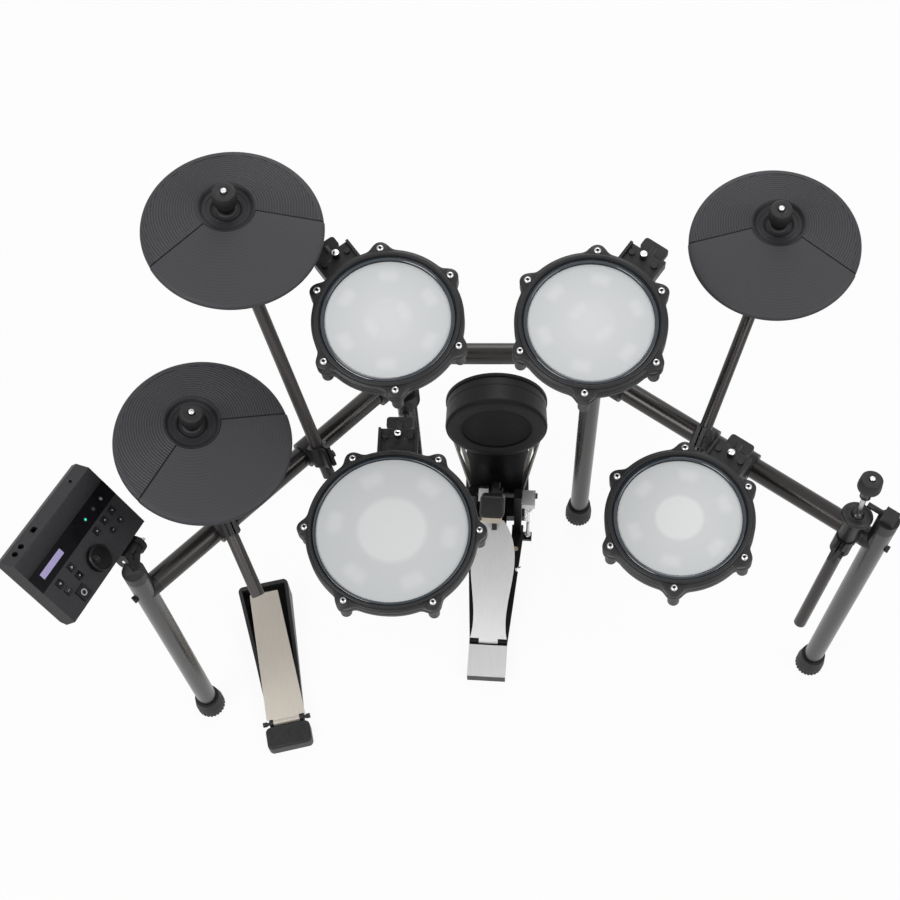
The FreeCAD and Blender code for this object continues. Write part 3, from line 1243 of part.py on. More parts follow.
def build_pedal():
    """The kick pedal: base, footboard, beater, strap and spring."""
    frame = pedal_frame()
    across = Vector(1, 0, 0)
    plate_top = PEDAL_RUBBER + PEDAL_PLATE
    post_out = POST_SPREAD + PEDAL_ARM_W / 2
    outline = [
        Vector(post_out, -PEDAL_NOTCH, PEDAL_RUBBER),
        Vector(HEEL_HALF, -HEEL_HINGE_BACK, PEDAL_RUBBER),
        Vector(HEEL_HALF, -HEEL_BACK, PEDAL_RUBBER),
        Vector(-HEEL_HALF, -HEEL_BACK, PEDAL_RUBBER),
        Vector(-HEEL_HALF, -HEEL_HINGE_BACK, PEDAL_RUBBER),
        Vector(-post_out, -PEDAL_NOTCH, PEDAL_RUBBER),
    ]
    plate = prism(outline, UP * PEDAL_PLATE)
    sole = prism([Vector(point.x, point.y, 0) for point in outline], UP * PEDAL_RUBBER)
    pieces = [plate, sole]
    shaft_at = UP * SHAFT_UP
    shaft_hole = rod(shaft_at - across * SHAFT_OUT, shaft_at + across * SHAFT_OUT, SHAFT_D / 2 + FIT)
    post_up = SHAFT_UP + POST_HEAD_UP
    arm_length = PEDAL_NOTCH + PEDAL_FRONT
    for side in (-1, 1):
        arm_at = Vector(side * POST_SPREAD, PEDAL_FRONT - arm_length / 2, plate_top / 2)
        pieces.append(block(Vector(PEDAL_ARM_W, arm_length, plate_top), arm_at))
        post_at = Vector(side * POST_SPREAD, PEDAL_FRONT - PEDAL_POST_D / 2, (plate_top + post_up) / 2)
        post = block(Vector(PEDAL_POST_W, PEDAL_POST_D, post_up - plate_top), post_at)
        pieces.append(post.cut(shaft_hole))
    jaw_low = BASE_MAT + BASE_THICK + HOOP_PLATE_H + SEAT
    jaw_top = jaw_low + CLAMP_JAW_H
    web_at = Vector(0, -PEDAL_NOTCH - CLAMP_WEB / 2, (plate_top + jaw_top) / 2)
    pieces.append(block(Vector(CLAMP_JAW_W, CLAMP_WEB, jaw_top - plate_top), web_at))
    jaw_length = PEDAL_NOTCH + PEDAL_FRONT + CLAMP_JAW_REACH
    jaw_at = Vector(0, jaw_length / 2 - PEDAL_NOTCH, jaw_low + CLAMP_JAW_H / 2)
    pieces.append(block(Vector(CLAMP_JAW_W, jaw_length, CLAMP_JAW_H), jaw_at))
    hinge_at = Vector(0, -HEEL_HINGE_BACK, HEEL_HINGE_UP)
    heel_low = Vector(0, -(HEEL_HINGE_BACK + HEEL_BACK) / 2 - HINGE_D / 2, (plate_top + HEEL_HINGE_UP) / 2)
    heel_length = HEEL_BACK - HEEL_HINGE_BACK - HINGE_D
    pieces.append(block(Vector(HEEL_HALF * 2, heel_length, HEEL_HINGE_UP - plate_top), heel_low))
    knuckle = HEEL_HALF / 2
    pin_half = across * HEEL_HALF
    pin_hole = rod(hinge_at - pin_half * 2, hinge_at + pin_half * 2, HINGE_PIN_D / 2 + FIT)
    for side in (-1, 1):
        inner = hinge_at + across * (side * (knuckle + SEAT))
        outer = hinge_at + across * (side * HEEL_HALF)
        ear_at = (inner + outer) / 2 - Vector(0, HINGE_D / 2, HINGE_D / 4)
        ear = block(Vector(HEEL_HALF - knuckle - SEAT, HINGE_D, HINGE_D / 2), ear_at)
        pieces.append(united([rod(inner, outer, HINGE_D / 2), ear]).cut(pin_hole))
    pieces.append(rod(hinge_at - pin_half, hinge_at + pin_half, HINGE_PIN_D / 2))
    heel_at = Vector(0, heel_low.y, HEEL_HINGE_UP + HEEL_PLATE / 2)
    pieces.append(block(Vector(HEEL_HALF * 2, heel_length, HEEL_PLATE), heel_at))
    tab_length = LEVER_X + SPRING_TAB / 2 - post_out
    tab_at = Vector(post_out + tab_length / 2, -LEVER_REACH, plate_top / 2)
    pieces.append(block(Vector(tab_length, SPRING_TAB, plate_top), tab_at))
    eye_at = Vector(LEVER_X, -LEVER_REACH, plate_top)
    spring_top = SHAFT_UP - LEVER_H / 2 - SEAT
    spring_at = Vector(LEVER_X, -LEVER_REACH, spring_top - spring_length())
    eye_bolt = rod(eye_at, spring_at - UP * SEAT, SPRING_EYE_W / 2)
    wheel_at = eye_at + UP * SPRING_EYE_W
    pieces.append(eye_bolt.fuse(rod(wheel_at, wheel_at + UP * SPRING_EYE_W, SPRING_EYE_D / 2)))
    save("pedal_base", [placed(piece, frame) for piece in pieces])

    board = footboard(
        BOARD_LENGTH, BOARD_THICK, HINGE_D, knuckle, HINGE_PIN_D,
        ((0.0, BOARD_HEEL_HALF), (BOARD_WAIST_SHARE, BOARD_WAIST_HALF),
         (BOARD_WIDE_SHARE, BOARD_WIDE_HALF), (1.0, BOARD_TOE_HALF)))
    tilt = FreeCAD.Placement(hinge_at, FreeCAD.Rotation(across, BOARD_TILT))
    save("pedal_footboard", placed(placed(board, tilt), frame))
    note("pedal_footboard", frame.multVec(hinge_at), frame.Rotation.multVec(across))
    note("pedal_beater", frame.multVec(shaft_at), frame.Rotation.multVec(across))

    save("pedal_beater", [placed(piece, frame) for piece in beater(shaft_at)])
    toe_top = tilt.multVec(Vector(0, BOARD_LENGTH - STRAP_W * 2, BOARD_THICK + STRAP_T / 2))
    strap_end = shaft_at - Vector(0, CAM_D / 2 + STRAP_T / 2 + SEAT, 0)
    way = unit(strap_end - toe_top)
    strap_frame = frame_at(toe_top, way, Vector(0, 1, 0))
    length = (strap_end - toe_top).Length
    strap = placed(block(Vector(STRAP_W, STRAP_T, length), UP * (length / 2)), strap_frame)
    save("pedal_strap", placed(strap, frame))

    save("pedal_spring", placed(coil_spring(spring_at), frame))


def footboard(length, thick, hinge_d, knuckle, pin_d, widths):
    """A shaped board along +Y from its hinge, with a knuckle on the hinge line."""
    right = [Vector(half, length * share, 0) for share, half in widths]
    left = [Vector(-half, length * share, 0) for share, half in reversed(widths)]
    start = hinge_d / 2 + SEAT
    right[0].y = start
    left[-1].y = start
    outline = Part.Wire([
        Part.makeLine(left[-1], right[0]),
        curve_through(right),
        Part.makeLine(right[-1], left[0]),
        curve_through(left),
    ])
    board = Part.Face(outline).extrude(UP * thick)
    across = Vector(1, 0, 0)
    barrel = rod(across * -knuckle, across * knuckle, hinge_d / 2)
    neck = block(Vector(knuckle * 2, start * 2, thick), Vector(0, start, thick / 2))
    body = united([board, barrel, neck])
    return body.cut(rod(across * -knuckle * 2, across * knuckle * 2, pin_d / 2 + FIT))


def curve_through(points):
    """A smooth edge through the points."""
    curve = Part.BSplineCurve()
    curve.interpolate(points)
    return curve.toShape()


def beater(shaft_at):
    """The shaft with its cam, spring lever, rod clamp, beater rod, head and felt."""
    across = Vector(1, 0, 0)
    shaft = rod(shaft_at - across * SHAFT_OUT, shaft_at + across * SHAFT_OUT, SHAFT_D / 2)
    bore = rod(shaft_at - across * SHAFT_OUT, shaft_at + across * SHAFT_OUT, SHAFT_D / 2 + FIT)
    cam_half = across * (CAM_W / 2)
    cam = rod(shaft_at - cam_half, shaft_at + cam_half, CAM_D / 2)
    hub_half = across * (BEATER_HUB_W / 2)
    hub = united([cam, rod(shaft_at - hub_half, shaft_at + hub_half, BEATER_HUB_D / 2)])
    swing = FreeCAD.Placement(shaft_at, FreeCAD.Rotation(across, BEATER_BACK))
    stem = rod(UP * (CAM_D / 2 + FIT), UP * (BEATER_REACH - BEATER_HIGH / 2 - FIT), BEATER_ROD_D / 2)
    head = block(Vector(BEATER_W, BEATER_DEEP, BEATER_HIGH), UP * BEATER_REACH)
    head = head.makeFillet(BEATER_CORNER, head.Edges)
    felt_at = Vector(0, -BEATER_DEEP / 2 - BEATER_FELT / 2 - FIT, BEATER_REACH)
    felt = block(Vector(BEATER_FELT_W, BEATER_FELT, BEATER_FELT_H), felt_at)
    lever_at = shaft_at + Vector(LEVER_X, -LEVER_REACH / 2, 0)
    lever = block(Vector(LEVER_W, LEVER_REACH + LEVER_LAP * 2, LEVER_H), lever_at)
    rocker_at = UP * (ROCKER_HIGH / 2 - SHAFT_D) - across * ROCKER_SHIFT
    rocker = placed(block(Vector(ROCKER_W, ROCKER_DEEP, ROCKER_HIGH), rocker_at), swing)
    arm = [placed(piece, swing) for piece in (stem, head, felt)]
    return [shaft, hub.cut(bore)] + arm + [lever.cut(bore), rocker.cut(bore)]


def build_hat_pedal():
    """The hi-hat control pedal: a low plastic tray and its hinged board."""
    spot = Vector(HAT_PEDAL_ACROSS, HAT_PEDAL_AWAY, 0)
    frame = FreeCAD.Placement(spot, FreeCAD.Rotation(UP, HAT_PEDAL_TURN))
    across = Vector(1, 0, 0)
    outline = [
        Vector(-HAT_HEEL_HALF, -HAT_CAP_GAP, 0),
        Vector(HAT_HEEL_HALF, -HAT_CAP_GAP, 0),
        Vector(HAT_TOE_HALF, HAT_LENGTH, 0),
        Vector(-HAT_TOE_HALF, HAT_LENGTH, 0),
    ]
    tray = prism(outline, UP * HAT_TOE_UP)
    toe_edges = [edge for edge in tray.Edges if edge.BoundBox.ZLength > HAT_FLOOR and edge.BoundBox.YMin > 0]
    tray = tray.makeFillet(HAT_CORNER, toe_edges)
    far = -HAT_TOE_HALF * 2
    slope = [
        Vector(far, -HAT_CAP_LENGTH, HAT_HEEL_UP),
        Vector(far, HAT_PIN_UP, HAT_HEEL_UP),
        Vector(far, HAT_MIDDLE, HAT_MIDDLE_UP),
        Vector(far, HAT_LENGTH + OVERRUN, HAT_TOE_UP),
        Vector(far, HAT_LENGTH + OVERRUN, HAT_TOE_UP * 2),
        Vector(far, -HAT_CAP_LENGTH, HAT_TOE_UP * 2),
    ]
    tray = tray.cut(prism(slope, across * -far * 2))
    inner_half = HAT_HEEL_HALF - HAT_WALL
    inner = [
        Vector(-inner_half, -HAT_CAP_GAP * 2, HAT_FLOOR),
        Vector(inner_half, -HAT_CAP_GAP * 2, HAT_FLOOR),
        Vector(HAT_TOE_HALF - HAT_WALL, HAT_LENGTH - HAT_WALL, HAT_FLOOR),
        Vector(-HAT_TOE_HALF + HAT_WALL, HAT_LENGTH - HAT_WALL, HAT_FLOOR),
    ]
    tray = tray.cut(prism(inner, UP * HAT_TOE_UP))
    pin_at = UP * HAT_PIN_UP
    pin_reach = HAT_BOARD_HEEL_HALF + HAT_PIN_OUT
    bore = rod(pin_at - across * pin_reach, pin_at + across * pin_reach, HAT_PIN_D / 2 + FIT)
    pin = rod(pin_at - across * pin_reach, pin_at + across * pin_reach, HAT_PIN_D / 2)
    for side in (-1, 1):
        wall_in = pin_at + across * (side * inner_half)
        wall_out = pin_at + across * (side * HAT_HEEL_HALF)
        tray = tray.fuse(rod(wall_in, wall_out, HAT_PIN_D - SEAT))
        head_in = pin_at + across * (side * (pin_reach - HAT_PIN_OUT + SEAT))
        pin = pin.fuse(rod(head_in, pin_at + across * (side * pin_reach), HAT_PIN_HEAD / 2))
    tray = tray.removeSplitter().cut(bore)
    cap_length = HAT_CAP_LENGTH - HAT_CAP_GAP
    cap_at = Vector(0, -HAT_CAP_GAP - cap_length / 2, HAT_CAP_UP / 2)
    cap = block(Vector(HAT_CAP_HALF * 2, cap_length, HAT_CAP_UP), cap_at)
    cap_edges = [edge for edge in cap.Edges if edge.BoundBox.ZLength > HAT_FLOOR]
    cap = cap.makeFillet(HAT_CAP_CORNER, cap_edges)
    top_edges = [edge for edge in cap.Edges if edge.BoundBox.ZMin > HAT_CAP_UP - FIT]
    cap = cap.makeFillet(HAT_CAP_EDGE, top_edges)
    save("hihat_pedal_base", [placed(piece, frame) for piece in (tray, cap, pin)])
    knuckle = inner_half - SEAT
    board = footboard(
        HAT_BOARD_LENGTH, HAT_BOARD_THICK, HAT_PIN_D * 2, knuckle, HAT_PIN_D,
        ((0.0, HAT_BOARD_HEEL_HALF), (1.0, HAT_BOARD_TOE_HALF)))
    lip_at = Vector(0, HAT_BOARD_LENGTH - HAT_BOARD_THICK / 2, -HAT_BOARD_LIP / 2)
    lip = block(Vector(HAT_BOARD_TOE_HALF * 2, HAT_BOARD_THICK, HAT_BOARD_LIP), lip_at)
    tilt = FreeCAD.Placement(pin_at, FreeCAD.Rotation(across, HAT_BOARD_TILT))
    save("hihat_pedal_board", placed(placed(united([board, lip]), tilt), frame))
    note("hihat_pedal", frame.multVec(pin_at), frame.Rotation.multVec(across))


def module_frame(leg_place):
    """The sound module's frame: x along it, y to its back, z out of its face."""
    long_way = FreeCAD.Rotation(UP, MODULE_TURN).multVec(
        FreeCAD.Rotation(Vector(0, 1, 0), -MODULE_PITCH).multVec(Vector(1, 0, 0)))
    level = unit(UP.cross(long_way))
    rise = long_way.cross(level)
    roll = math.radians(MODULE_ROLL)
    back = level * math.cos(roll) + rise * math.sin(roll)
    spot = leg_place + Vector(MODULE_ACROSS, MODULE_AWAY, FRONT_LEG_TOP + MODULE_RISE)
    return frame_at(spot, long_way.cross(back), back)


def face_spot(along_share, down_share):
    """A place on the module's face from shares of its length and width."""
    along = (along_share - HALF_SHARE) * MODULE_LENGTH
    back = (HALF_SHARE - down_share) * MODULE_WIDTH
    return Vector(along, back, 0)


def button_shape(kind, grow, low, high):
    """A button outline grown a little, between two heights, about the origin."""
    if kind == "round":
        return rod(UP * low, UP * high, ROUND_BUTTON_D / 2 + grow)
    side = LARGE_BUTTON if kind == "large" else SQUARE_BUTTON
    size = Vector(side + grow * 2, side + grow * 2, high - low)
    return block(size, UP * ((low + high) / 2))


def module_profile(inset, low, high):
    """The module's case section, inset evenly, as a solid between two heights."""
    front = -MODULE_WIDTH / 2 + inset
    back = MODULE_WIDTH / 2 - inset / 2
    far = back + MODULE_BACK - inset / 2
    top = -inset
    floor = -MODULE_HEIGHT + inset
    start = -MODULE_LENGTH / 2 + inset
    outline = [
        Vector(start, front, top),
        Vector(start, back, top),
        Vector(start, far, top - MODULE_BACK_DROP),
        Vector(start, far, floor),
        Vector(start, front + MODULE_FRONT_CUT, floor),
        Vector(start, front, -MODULE_FRONT_DROP),
    ]
    solid = prism(outline, Vector(-start * 2, 0, 0))
    keep = Vector(MODULE_LENGTH * 2, MODULE_WIDTH * 2, high - low)
    return solid.common(block(keep, UP * ((low + high) / 2)))


def build_module(leg_place):
    """Writes the sound module; returns the fork that holds it on the leg."""
    frame = module_frame(leg_place)
    split = -MODULE_SPLIT
    top = module_profile(0, split, OVERRUN).cut(module_profile(MODULE_WALL, split - OVERRUN, 0))
    base = module_profile(0, -MODULE_HEIGHT, split)
    base = base.cut(module_profile(MODULE_WALL, -MODULE_HEIGHT, split + OVERRUN))
    window_middle = (WINDOW_START_SHARE + WINDOW_END_SHARE) / 2
    window_width = (WINDOW_END_SHARE - WINDOW_START_SHARE) * MODULE_WIDTH
    window_at = face_spot(HALF_SHARE, window_middle)
    recess = block(Vector(MODULE_LENGTH * 2, window_width, WINDOW_SINK * 2), window_at)
    strip_at = window_at + UP * (WINDOW_THICK / 2 - WINDOW_SINK)
    strip = block(Vector(MODULE_LENGTH, window_width - SEAT * 2, WINDOW_THICK), strip_at)
    top = top.cut(recess)
    floor = -MODULE_WALL
    for name, kind, along, down in BUTTON_PLACES_SHARES:
        spot = face_spot(along, down)
        cap = button_shape(kind, 0, floor - SEAT, BUTTON_RISE)
        flange = button_shape(kind, BUTTON_FLANGE, floor - SEAT - BUTTON_FLANGE_T, floor - SEAT)
        stem = rod(UP * (floor - SEAT - BUTTON_STEM), UP * floor, BUTTON_STEM / 2)
        hole = button_shape(kind, BUTTON_GAP, floor - OVERRUN, OVERRUN)
        hole.translate(spot)
        top = top.cut(hole)
        button = united([cap, flange, stem])
        button.translate(spot)
        save(name, placed(button, frame))
        note(name, frame.multVec(spot), frame.Rotation.multVec(UP) * -1)
    dial_at = face_spot(*DIAL_SHARES)
    top = top.cut(rod(dial_at + UP * (floor - OVERRUN), dial_at + UP * OVERRUN, DIAL_SHAFT_D / 2 + SEAT))
    knob = rod(UP * SEAT, UP * (SEAT + DIAL_H), DIAL_D / 2)
    knob = knob.makeChamfer(OVERRUN, [knob.Edges[0]])
    dimple_out = DIAL_D / 2 * DIAL_DIMPLE_OUT_SHARE
    dimple_up = SEAT + DIAL_H + DIAL_DIMPLE_D / 2 - DIAL_DIMPLE_DEEP
    knob = knob.cut(Part.makeSphere(DIAL_DIMPLE_D / 2, Vector(-dimple_out, dimple_out / 2, dimple_up)))
    shaft = rod(UP * (floor - SEAT - DIAL_SHAFT_L), UP * DIAL_H / 2, DIAL_SHAFT_D / 2)
    collar = rod(UP * (floor - SEAT - BUTTON_FLANGE_T), UP * (floor - SEAT), DIAL_COLLAR_D / 2)
    dial = united([knob, shaft, collar])
    dial.translate(dial_at)
    save("module_dial", placed(dial, frame))
    note("module_dial", frame.multVec(dial_at), frame.Rotation.multVec(UP))
    panel_angle = math.degrees(math.atan2(MODULE_BACK_DROP, MODULE_BACK))
    for kind, along in JACK_PLACES_SHARES:
        spot = face_spot(along, 0) + Vector(0, MODULE_BACK / 2, -MODULE_BACK_DROP / 2)
        tilt = FreeCAD.Placement(spot, FreeCAD.Rotation(Vector(1, 0, 0), -panel_angle))
        if kind == "square":
            cutter = block(Vector(JACK_SQUARE, JACK_SQUARE_H, JACK_DEEP), Vector())
        else:
            radius = JACK_LARGE_D / 2 if kind == "large" else JACK_SMALL_D / 2
            cutter = rod(UP * (-JACK_DEEP / 2), UP * (JACK_DEEP / 2), radius)
        top = top.cut(placed(cutter, tilt))
    pin_at = Vector(TONGUE_ALONG, -MODULE_WIDTH / 2 - TONGUE_OUT, -TONGUE_DOWN)
    across = Vector(1, 0, 0)
    half = across * (TONGUE_W / 2)
    tongue = rod(pin_at - half, pin_at + half, TONGUE_D / 2)
    root_length = TONGUE_OUT + MODULE_FRONT_CUT
    root_at = pin_at + Vector(0, root_length / 2, -TONGUE_D / 4)
    root = block(Vector(TONGUE_W, root_length, TONGUE_D / 2), root_at)
    bore = rod(pin_at - half * 2, pin_at + half * 2, FORK_PIN_D / 2 + FIT)
    cavity = module_profile(MODULE_WALL, -MODULE_HEIGHT, 0)
    lug = tongue.fuse(root).cut(cavity).cut(module_profile(0, split, OVERRUN))
    base = united([base, lug]).cut(bore)
    save("module_top", placed(top, frame))
    save("module_base", placed(base, frame))
    save("module_window", placed(strip, frame))
    note("module_tilt", frame.multVec(pin_at), frame.Rotation.multVec(across))
    return module_fork(frame, pin_at, leg_place)


def module_fork(frame, pin_at, leg_place):
    """The forked head on the left front leg, with its pin and wing screw."""
    across = Vector(1, 0, 0)
    top = leg_place + UP * FRONT_LEG_TOP
    cap = rod(top, top + UP * FORK_ROOT, TUBE_R)
    plug = rod(top - UP * CAP_PLUG, top, TUBE_R - TUBE_WALL - FIT)
    inner = TONGUE_W / 2 + SEAT
    outer = inner + TINE_W
    pieces = [cap, plug]
    aim = top + UP * (FORK_ROOT / 2)
    leg_room = rod(top - UP * TUBE_D, top, TUBE_D)
    for side in (-1, 1):
        near = frame.multVec(pin_at + across * (side * inner))
        far = frame.multVec(pin_at + across * (side * outer))
        pieces.append(rod(near, far, TINE_D / 2))
        middle = (near + far) / 2
        way = unit(aim - middle)
        arm_frame = frame_at(middle, way, far - near)
        length = (aim - middle).Length
        arm = block(Vector(FORK_ARM_W, TINE_W, length), UP * (length / 2))
        pieces.append(placed(arm, arm_frame).cut(leg_room))
    body = united(pieces)
    hub_room = placed(rod(pin_at - across * inner, pin_at + across * inner, TINE_D / 2 + SEAT), frame)
    bore = placed(rod(pin_at - across * outer * 2, pin_at + across * outer * 2, FORK_PIN_D / 2 + FIT), frame)
    body = body.cut(hub_room).cut(bore)
    pin = rod(pin_at - across * outer, pin_at + across * outer, FORK_PIN_D / 2)
    head_start = pin_at + across * outer
    head = rod(head_start, head_start + across * FORK_PIN_HEAD_L, FORK_PIN_HEAD_D / 2)
    wing = block(
        Vector(FORK_PIN_HEAD_L, FORK_WING_T, FORK_WING_SPAN),
        head_start + across * (FORK_PIN_HEAD_L / 2))
    screw = united([pin, head, wing])
    return [body, placed(screw, frame)]


def main():
    os.makedirs("parts", exist_ok=True)
    build_rack()
    build_kick()
    build_pedal()
    build_hat_pedal()


main()
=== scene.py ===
import json
import math

import bmesh
import bpy
from mathutils import Matrix, Vector

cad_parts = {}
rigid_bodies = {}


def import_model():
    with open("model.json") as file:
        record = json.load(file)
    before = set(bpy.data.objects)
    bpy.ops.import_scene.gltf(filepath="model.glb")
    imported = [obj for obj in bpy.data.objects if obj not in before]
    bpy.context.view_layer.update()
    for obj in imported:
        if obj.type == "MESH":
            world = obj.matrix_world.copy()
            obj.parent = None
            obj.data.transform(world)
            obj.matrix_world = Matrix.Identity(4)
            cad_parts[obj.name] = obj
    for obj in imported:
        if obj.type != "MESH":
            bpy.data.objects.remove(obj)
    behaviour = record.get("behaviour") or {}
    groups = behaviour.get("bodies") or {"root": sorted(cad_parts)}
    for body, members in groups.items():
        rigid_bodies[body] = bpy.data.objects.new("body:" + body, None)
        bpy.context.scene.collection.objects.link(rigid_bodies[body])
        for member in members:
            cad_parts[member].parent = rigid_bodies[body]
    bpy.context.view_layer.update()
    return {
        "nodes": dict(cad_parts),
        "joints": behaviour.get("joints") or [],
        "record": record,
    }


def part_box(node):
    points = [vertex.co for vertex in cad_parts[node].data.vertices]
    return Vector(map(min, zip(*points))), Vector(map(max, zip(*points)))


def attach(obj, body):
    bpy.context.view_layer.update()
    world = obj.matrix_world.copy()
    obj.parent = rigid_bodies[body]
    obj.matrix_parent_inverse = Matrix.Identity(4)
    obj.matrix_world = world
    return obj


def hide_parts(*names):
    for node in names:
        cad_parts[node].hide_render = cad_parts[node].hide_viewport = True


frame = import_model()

# Looks of an electronic drum kit, in metres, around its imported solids.

MM = 0.001
UP = Vector((0, 0, 1))
TURN = 2 * math.pi
SMOOTH_ANGLE = math.radians(34)
SMALL_PIECE = 30 * MM
WELD = 1e-6
CAD_WELD = 2e-6
FINE_WELD = 1e-7
FLAT_ANGLE = math.radians(0.4)

# Camera, fitted to the photograph's legs and bars
CAMERA_PLACE = (0.012, -1.195, 2.5171)
CAMERA_TILT = 28.0
CAMERA_LENS = 56.58
CAMERA_SHIFT = -0.0616
SENSOR = 36.0

# Stage
FLOOR_REACH = 6.0
FLOOR_DROP = 0.5 * MM
FLOOR_WHITE_SHARE = 0.93
SURROUND_LIGHT = 0.39
LAMP_AIM = Vector((0, -0.1, 0.5))
LAMPS = (
    ("key", (-1.6, -1.4, 2.9), 1.6, 40),
    ("fill", (1.9, -0.9, 2.6), 1.8, 26),
    ("back", (0.2, 2.2, 2.4), 1.8, 23),
)

# Drum pads: sizes of the rubber hoop, its ears and what it holds
HEAD_RADIUS = {"snare": 110.8 * MM, "tom": 88.35 * MM}
HOOP_RADIUS = {"snare": 126.0 * MM, "tom": 107.0 * MM}
HEAD_TUCK = 4.6 * MM
HEAD_GAP = 0.4 * MM
HEAD_THICK = 0.6 * MM
EAR_RADIUS = 11.5 * MM
EAR_OUT = 1.0 * MM
EAR_BLEND = 13.0 * MM
EAR_TOP = 3.6 * MM
HOOP_TOP = 8.0 * MM
HOOP_DROP = 18.0 * MM
LUGS = 6
LUG_PHASE = math.radians(30)
BOLT_REACH = 14.0 * MM
ROD_REACH = 30.0 * MM
HEAD_CAD_THICK = 1.2 * MM
RING_MIDDLE_SHARE = 0.19
RING_WIDE_SHARE = 0.15
RING_UP = 2.5 * MM
RING_HIGH = 1.7 * MM
HOOP_STEPS = 300
PAD_LEANS = {
    "snare": (0.3, -3.6),
    "left_tom": (-0.3, -9.3),
    "right_tom": (-1.6, -8.7),
    "floor_tom": (-4.7, -2.3),
}

# Cymbal pads: the bell stands off the middle, away from the playing zone
CYMBAL_RADIUS = 127.0 * MM
CYMBAL_EDGE = 7.0 * MM
CYMBAL_SHIFT = 29.0 * MM
BELL_RADIUS = 40.0 * MM
BELL_RIM_UP = 21.0 * MM
CYMBAL_RISE = 9.0 * MM
BOW_STEPS = 220
BOW_END_SHARE = 0.97
GROOVES_FROM = BELL_RADIUS + 2 * MM
GROOVE_PITCH = 3.8 * MM
GROOVE_DEPTH = 0.75 * MM
ZONE_TURN = {"crash": 20.5, "hihat": 38.0, "ride": -15.0}
ZONE_HALF = math.radians(65.5)
ZONE_START = 1.6 * MM
ZONE_GAP = 2.1 * MM
ZONE_SEAT = 1.8 * MM
ZONE_STEP = 0.25 * MM
ZONE_PROUD = 0.7 * MM
ZONE_THICK = 1.8 * MM
ZONE_PITCH = 4.8 * MM
ZONE_FADE_SHARE = 0.28
ZONE_FADE_POWER = 1.6
NUT_LOW = 18.6 * MM
NUT_HIGH = 39.4 * MM
NUT_NECK = 15.8 * MM
FLUTES = 36
FLUTE_DEPTH = 0.6 * MM
FLUTED_STEPS = 144
SEAT_RING = (21.4 * MM, 2.2 * MM, 13.6 * MM)
CYMBAL_LEANS = {"crash": (5.2, -5.1), "hihat": (10.5, -6.1), "ride": (-4.6, -6.0)}

# Spare post
SPARE_LEANS = (2.4, 9.2)
SPARE_TOP = 92.0 * MM
SPARE_KNOB = 22.0 * MM
SPARE_BALL = 10.0 * MM
SPARE_ROD = 4.0 * MM
SPARE_SLEEVE = 22.0 * MM
SPARE_ROD_DOWN = 20.0 * MM

# Kick pad and pedal
KICK_FACE = (-0.004, 0.019, 0.309)
KICK_LEAN = 3.4
KICK_DISC_REACH = 62.5 * MM
PLATE_TOP = 8.0 * MM
RUBBER_DOT = (32.0 * MM, -77.5 * MM)
WING_SCREW = (33.7 * MM, -121.5 * MM)
WING_TURN = math.radians(24)
WING_SIZE = (17.0 * MM, 2.4 * MM)
WING_HEIGHT = 4.2 * MM
WING_UP = 2.6 * MM

# Module
MODULE_LENGTH = 198.0 * MM
MODULE_WIDTH = 116.0 * MM
DIAL_SHARES = (0.50, 0.78)
DIAL_DIMPLE = 6.5 * MM
DIAL_DIMPLE_OUT = 10.4 * MM
DIAL_DIMPLE_DEEP = 2.6 * MM
KEY_RISE = 1.8 * MM
FACE_LIFT = 0.35 * MM
MARK_THICK = 0.15 * MM
DISPLAY_SIZE = (51.0 * MM, 9.6 * MM)
DISPLAY_SHARES = (0.215, 0.345)
LAMP_ALONG_SHARES = (0.66, 0.77, 0.876)
LAMP_DOWN_SHARE = 0.357
KEY_SHARES = {
    "module_left_button": (0.141, 0.569),
    "module_right_button": (0.297, 0.564),
    "module_back_button": (0.146, 0.704),
    "module_enter_button": (0.293, 0.704),
    "module_kit_button": (0.218, 0.872),
    "module_pad_button_a": (0.654, 0.560),
    "module_pad_button_b": (0.766, 0.560),
    "module_pad_button_c": (0.870, 0.560),
    "module_volume_button_down": (0.757, 0.720),
    "module_volume_button_up": (0.862, 0.720),
}
SLOPE_DEEP = 14.0 * MM
SLOPE_DROP = 16.0 * MM
JACK_SHARES = (("large", 0.10), ("large", 0.175), ("square", 0.34), ("small", 0.83))
JACK_SIZES = {"large": (9.0 * MM, 9.0 * MM), "small": (5.5 * MM, 5.5 * MM), "square": (10.0 * MM, 8.0 * MM)}
JACK_DEEP = 4.3 * MM

BODY_OF = {node: body for body, nodes in frame["record"]["behaviour"]["bodies"].items() for node in nodes}
JOINTS = {joint["name"]: joint for joint in frame["joints"]}
JOINT_PLACES = {name: Vector(joint["pos_m"]) for name, joint in JOINTS.items() if "pos_m" in joint}


# Material helpers

GRAIN_DEEP = 0.1 * MM
BRUSH_DEEP = 0.05 * MM
WEAVE_DEEP = 0.08 * MM
CLOUD_PER_GRAIN = 14


def feed(tree, socket, value):
    """Gives a socket a plain value, or a link from another socket."""
    if isinstance(value, bpy.types.NodeSocket):
        tree.links.new(value, socket)
    else:
        socket.default_value = value


def feed_named(tree, node, values):
    """Feeds a node's inputs by name, with underscores for spaces."""
    for key, value in values.items():
        feed(tree, node.inputs[key.replace("_", " ")], value)


def add_node(tree, kind, **values):
    """A new shader node with some of its inputs fed."""
    node = tree.nodes.new("ShaderNode" + kind)
    feed_named(tree, node, values)
    return node


def shader(name, color, roughness, **inputs):
    """A new material, its node tree and its principled shader with plain socket values."""
    material = bpy.data.materials.new(name)
    material.use_nodes = True
    tree = material.node_tree
    principled = tree.nodes["Principled BSDF"]
    feed_named(tree, principled, dict(inputs, Base_Color=(*color, 1), Roughness=roughness))
    return material, tree, principled


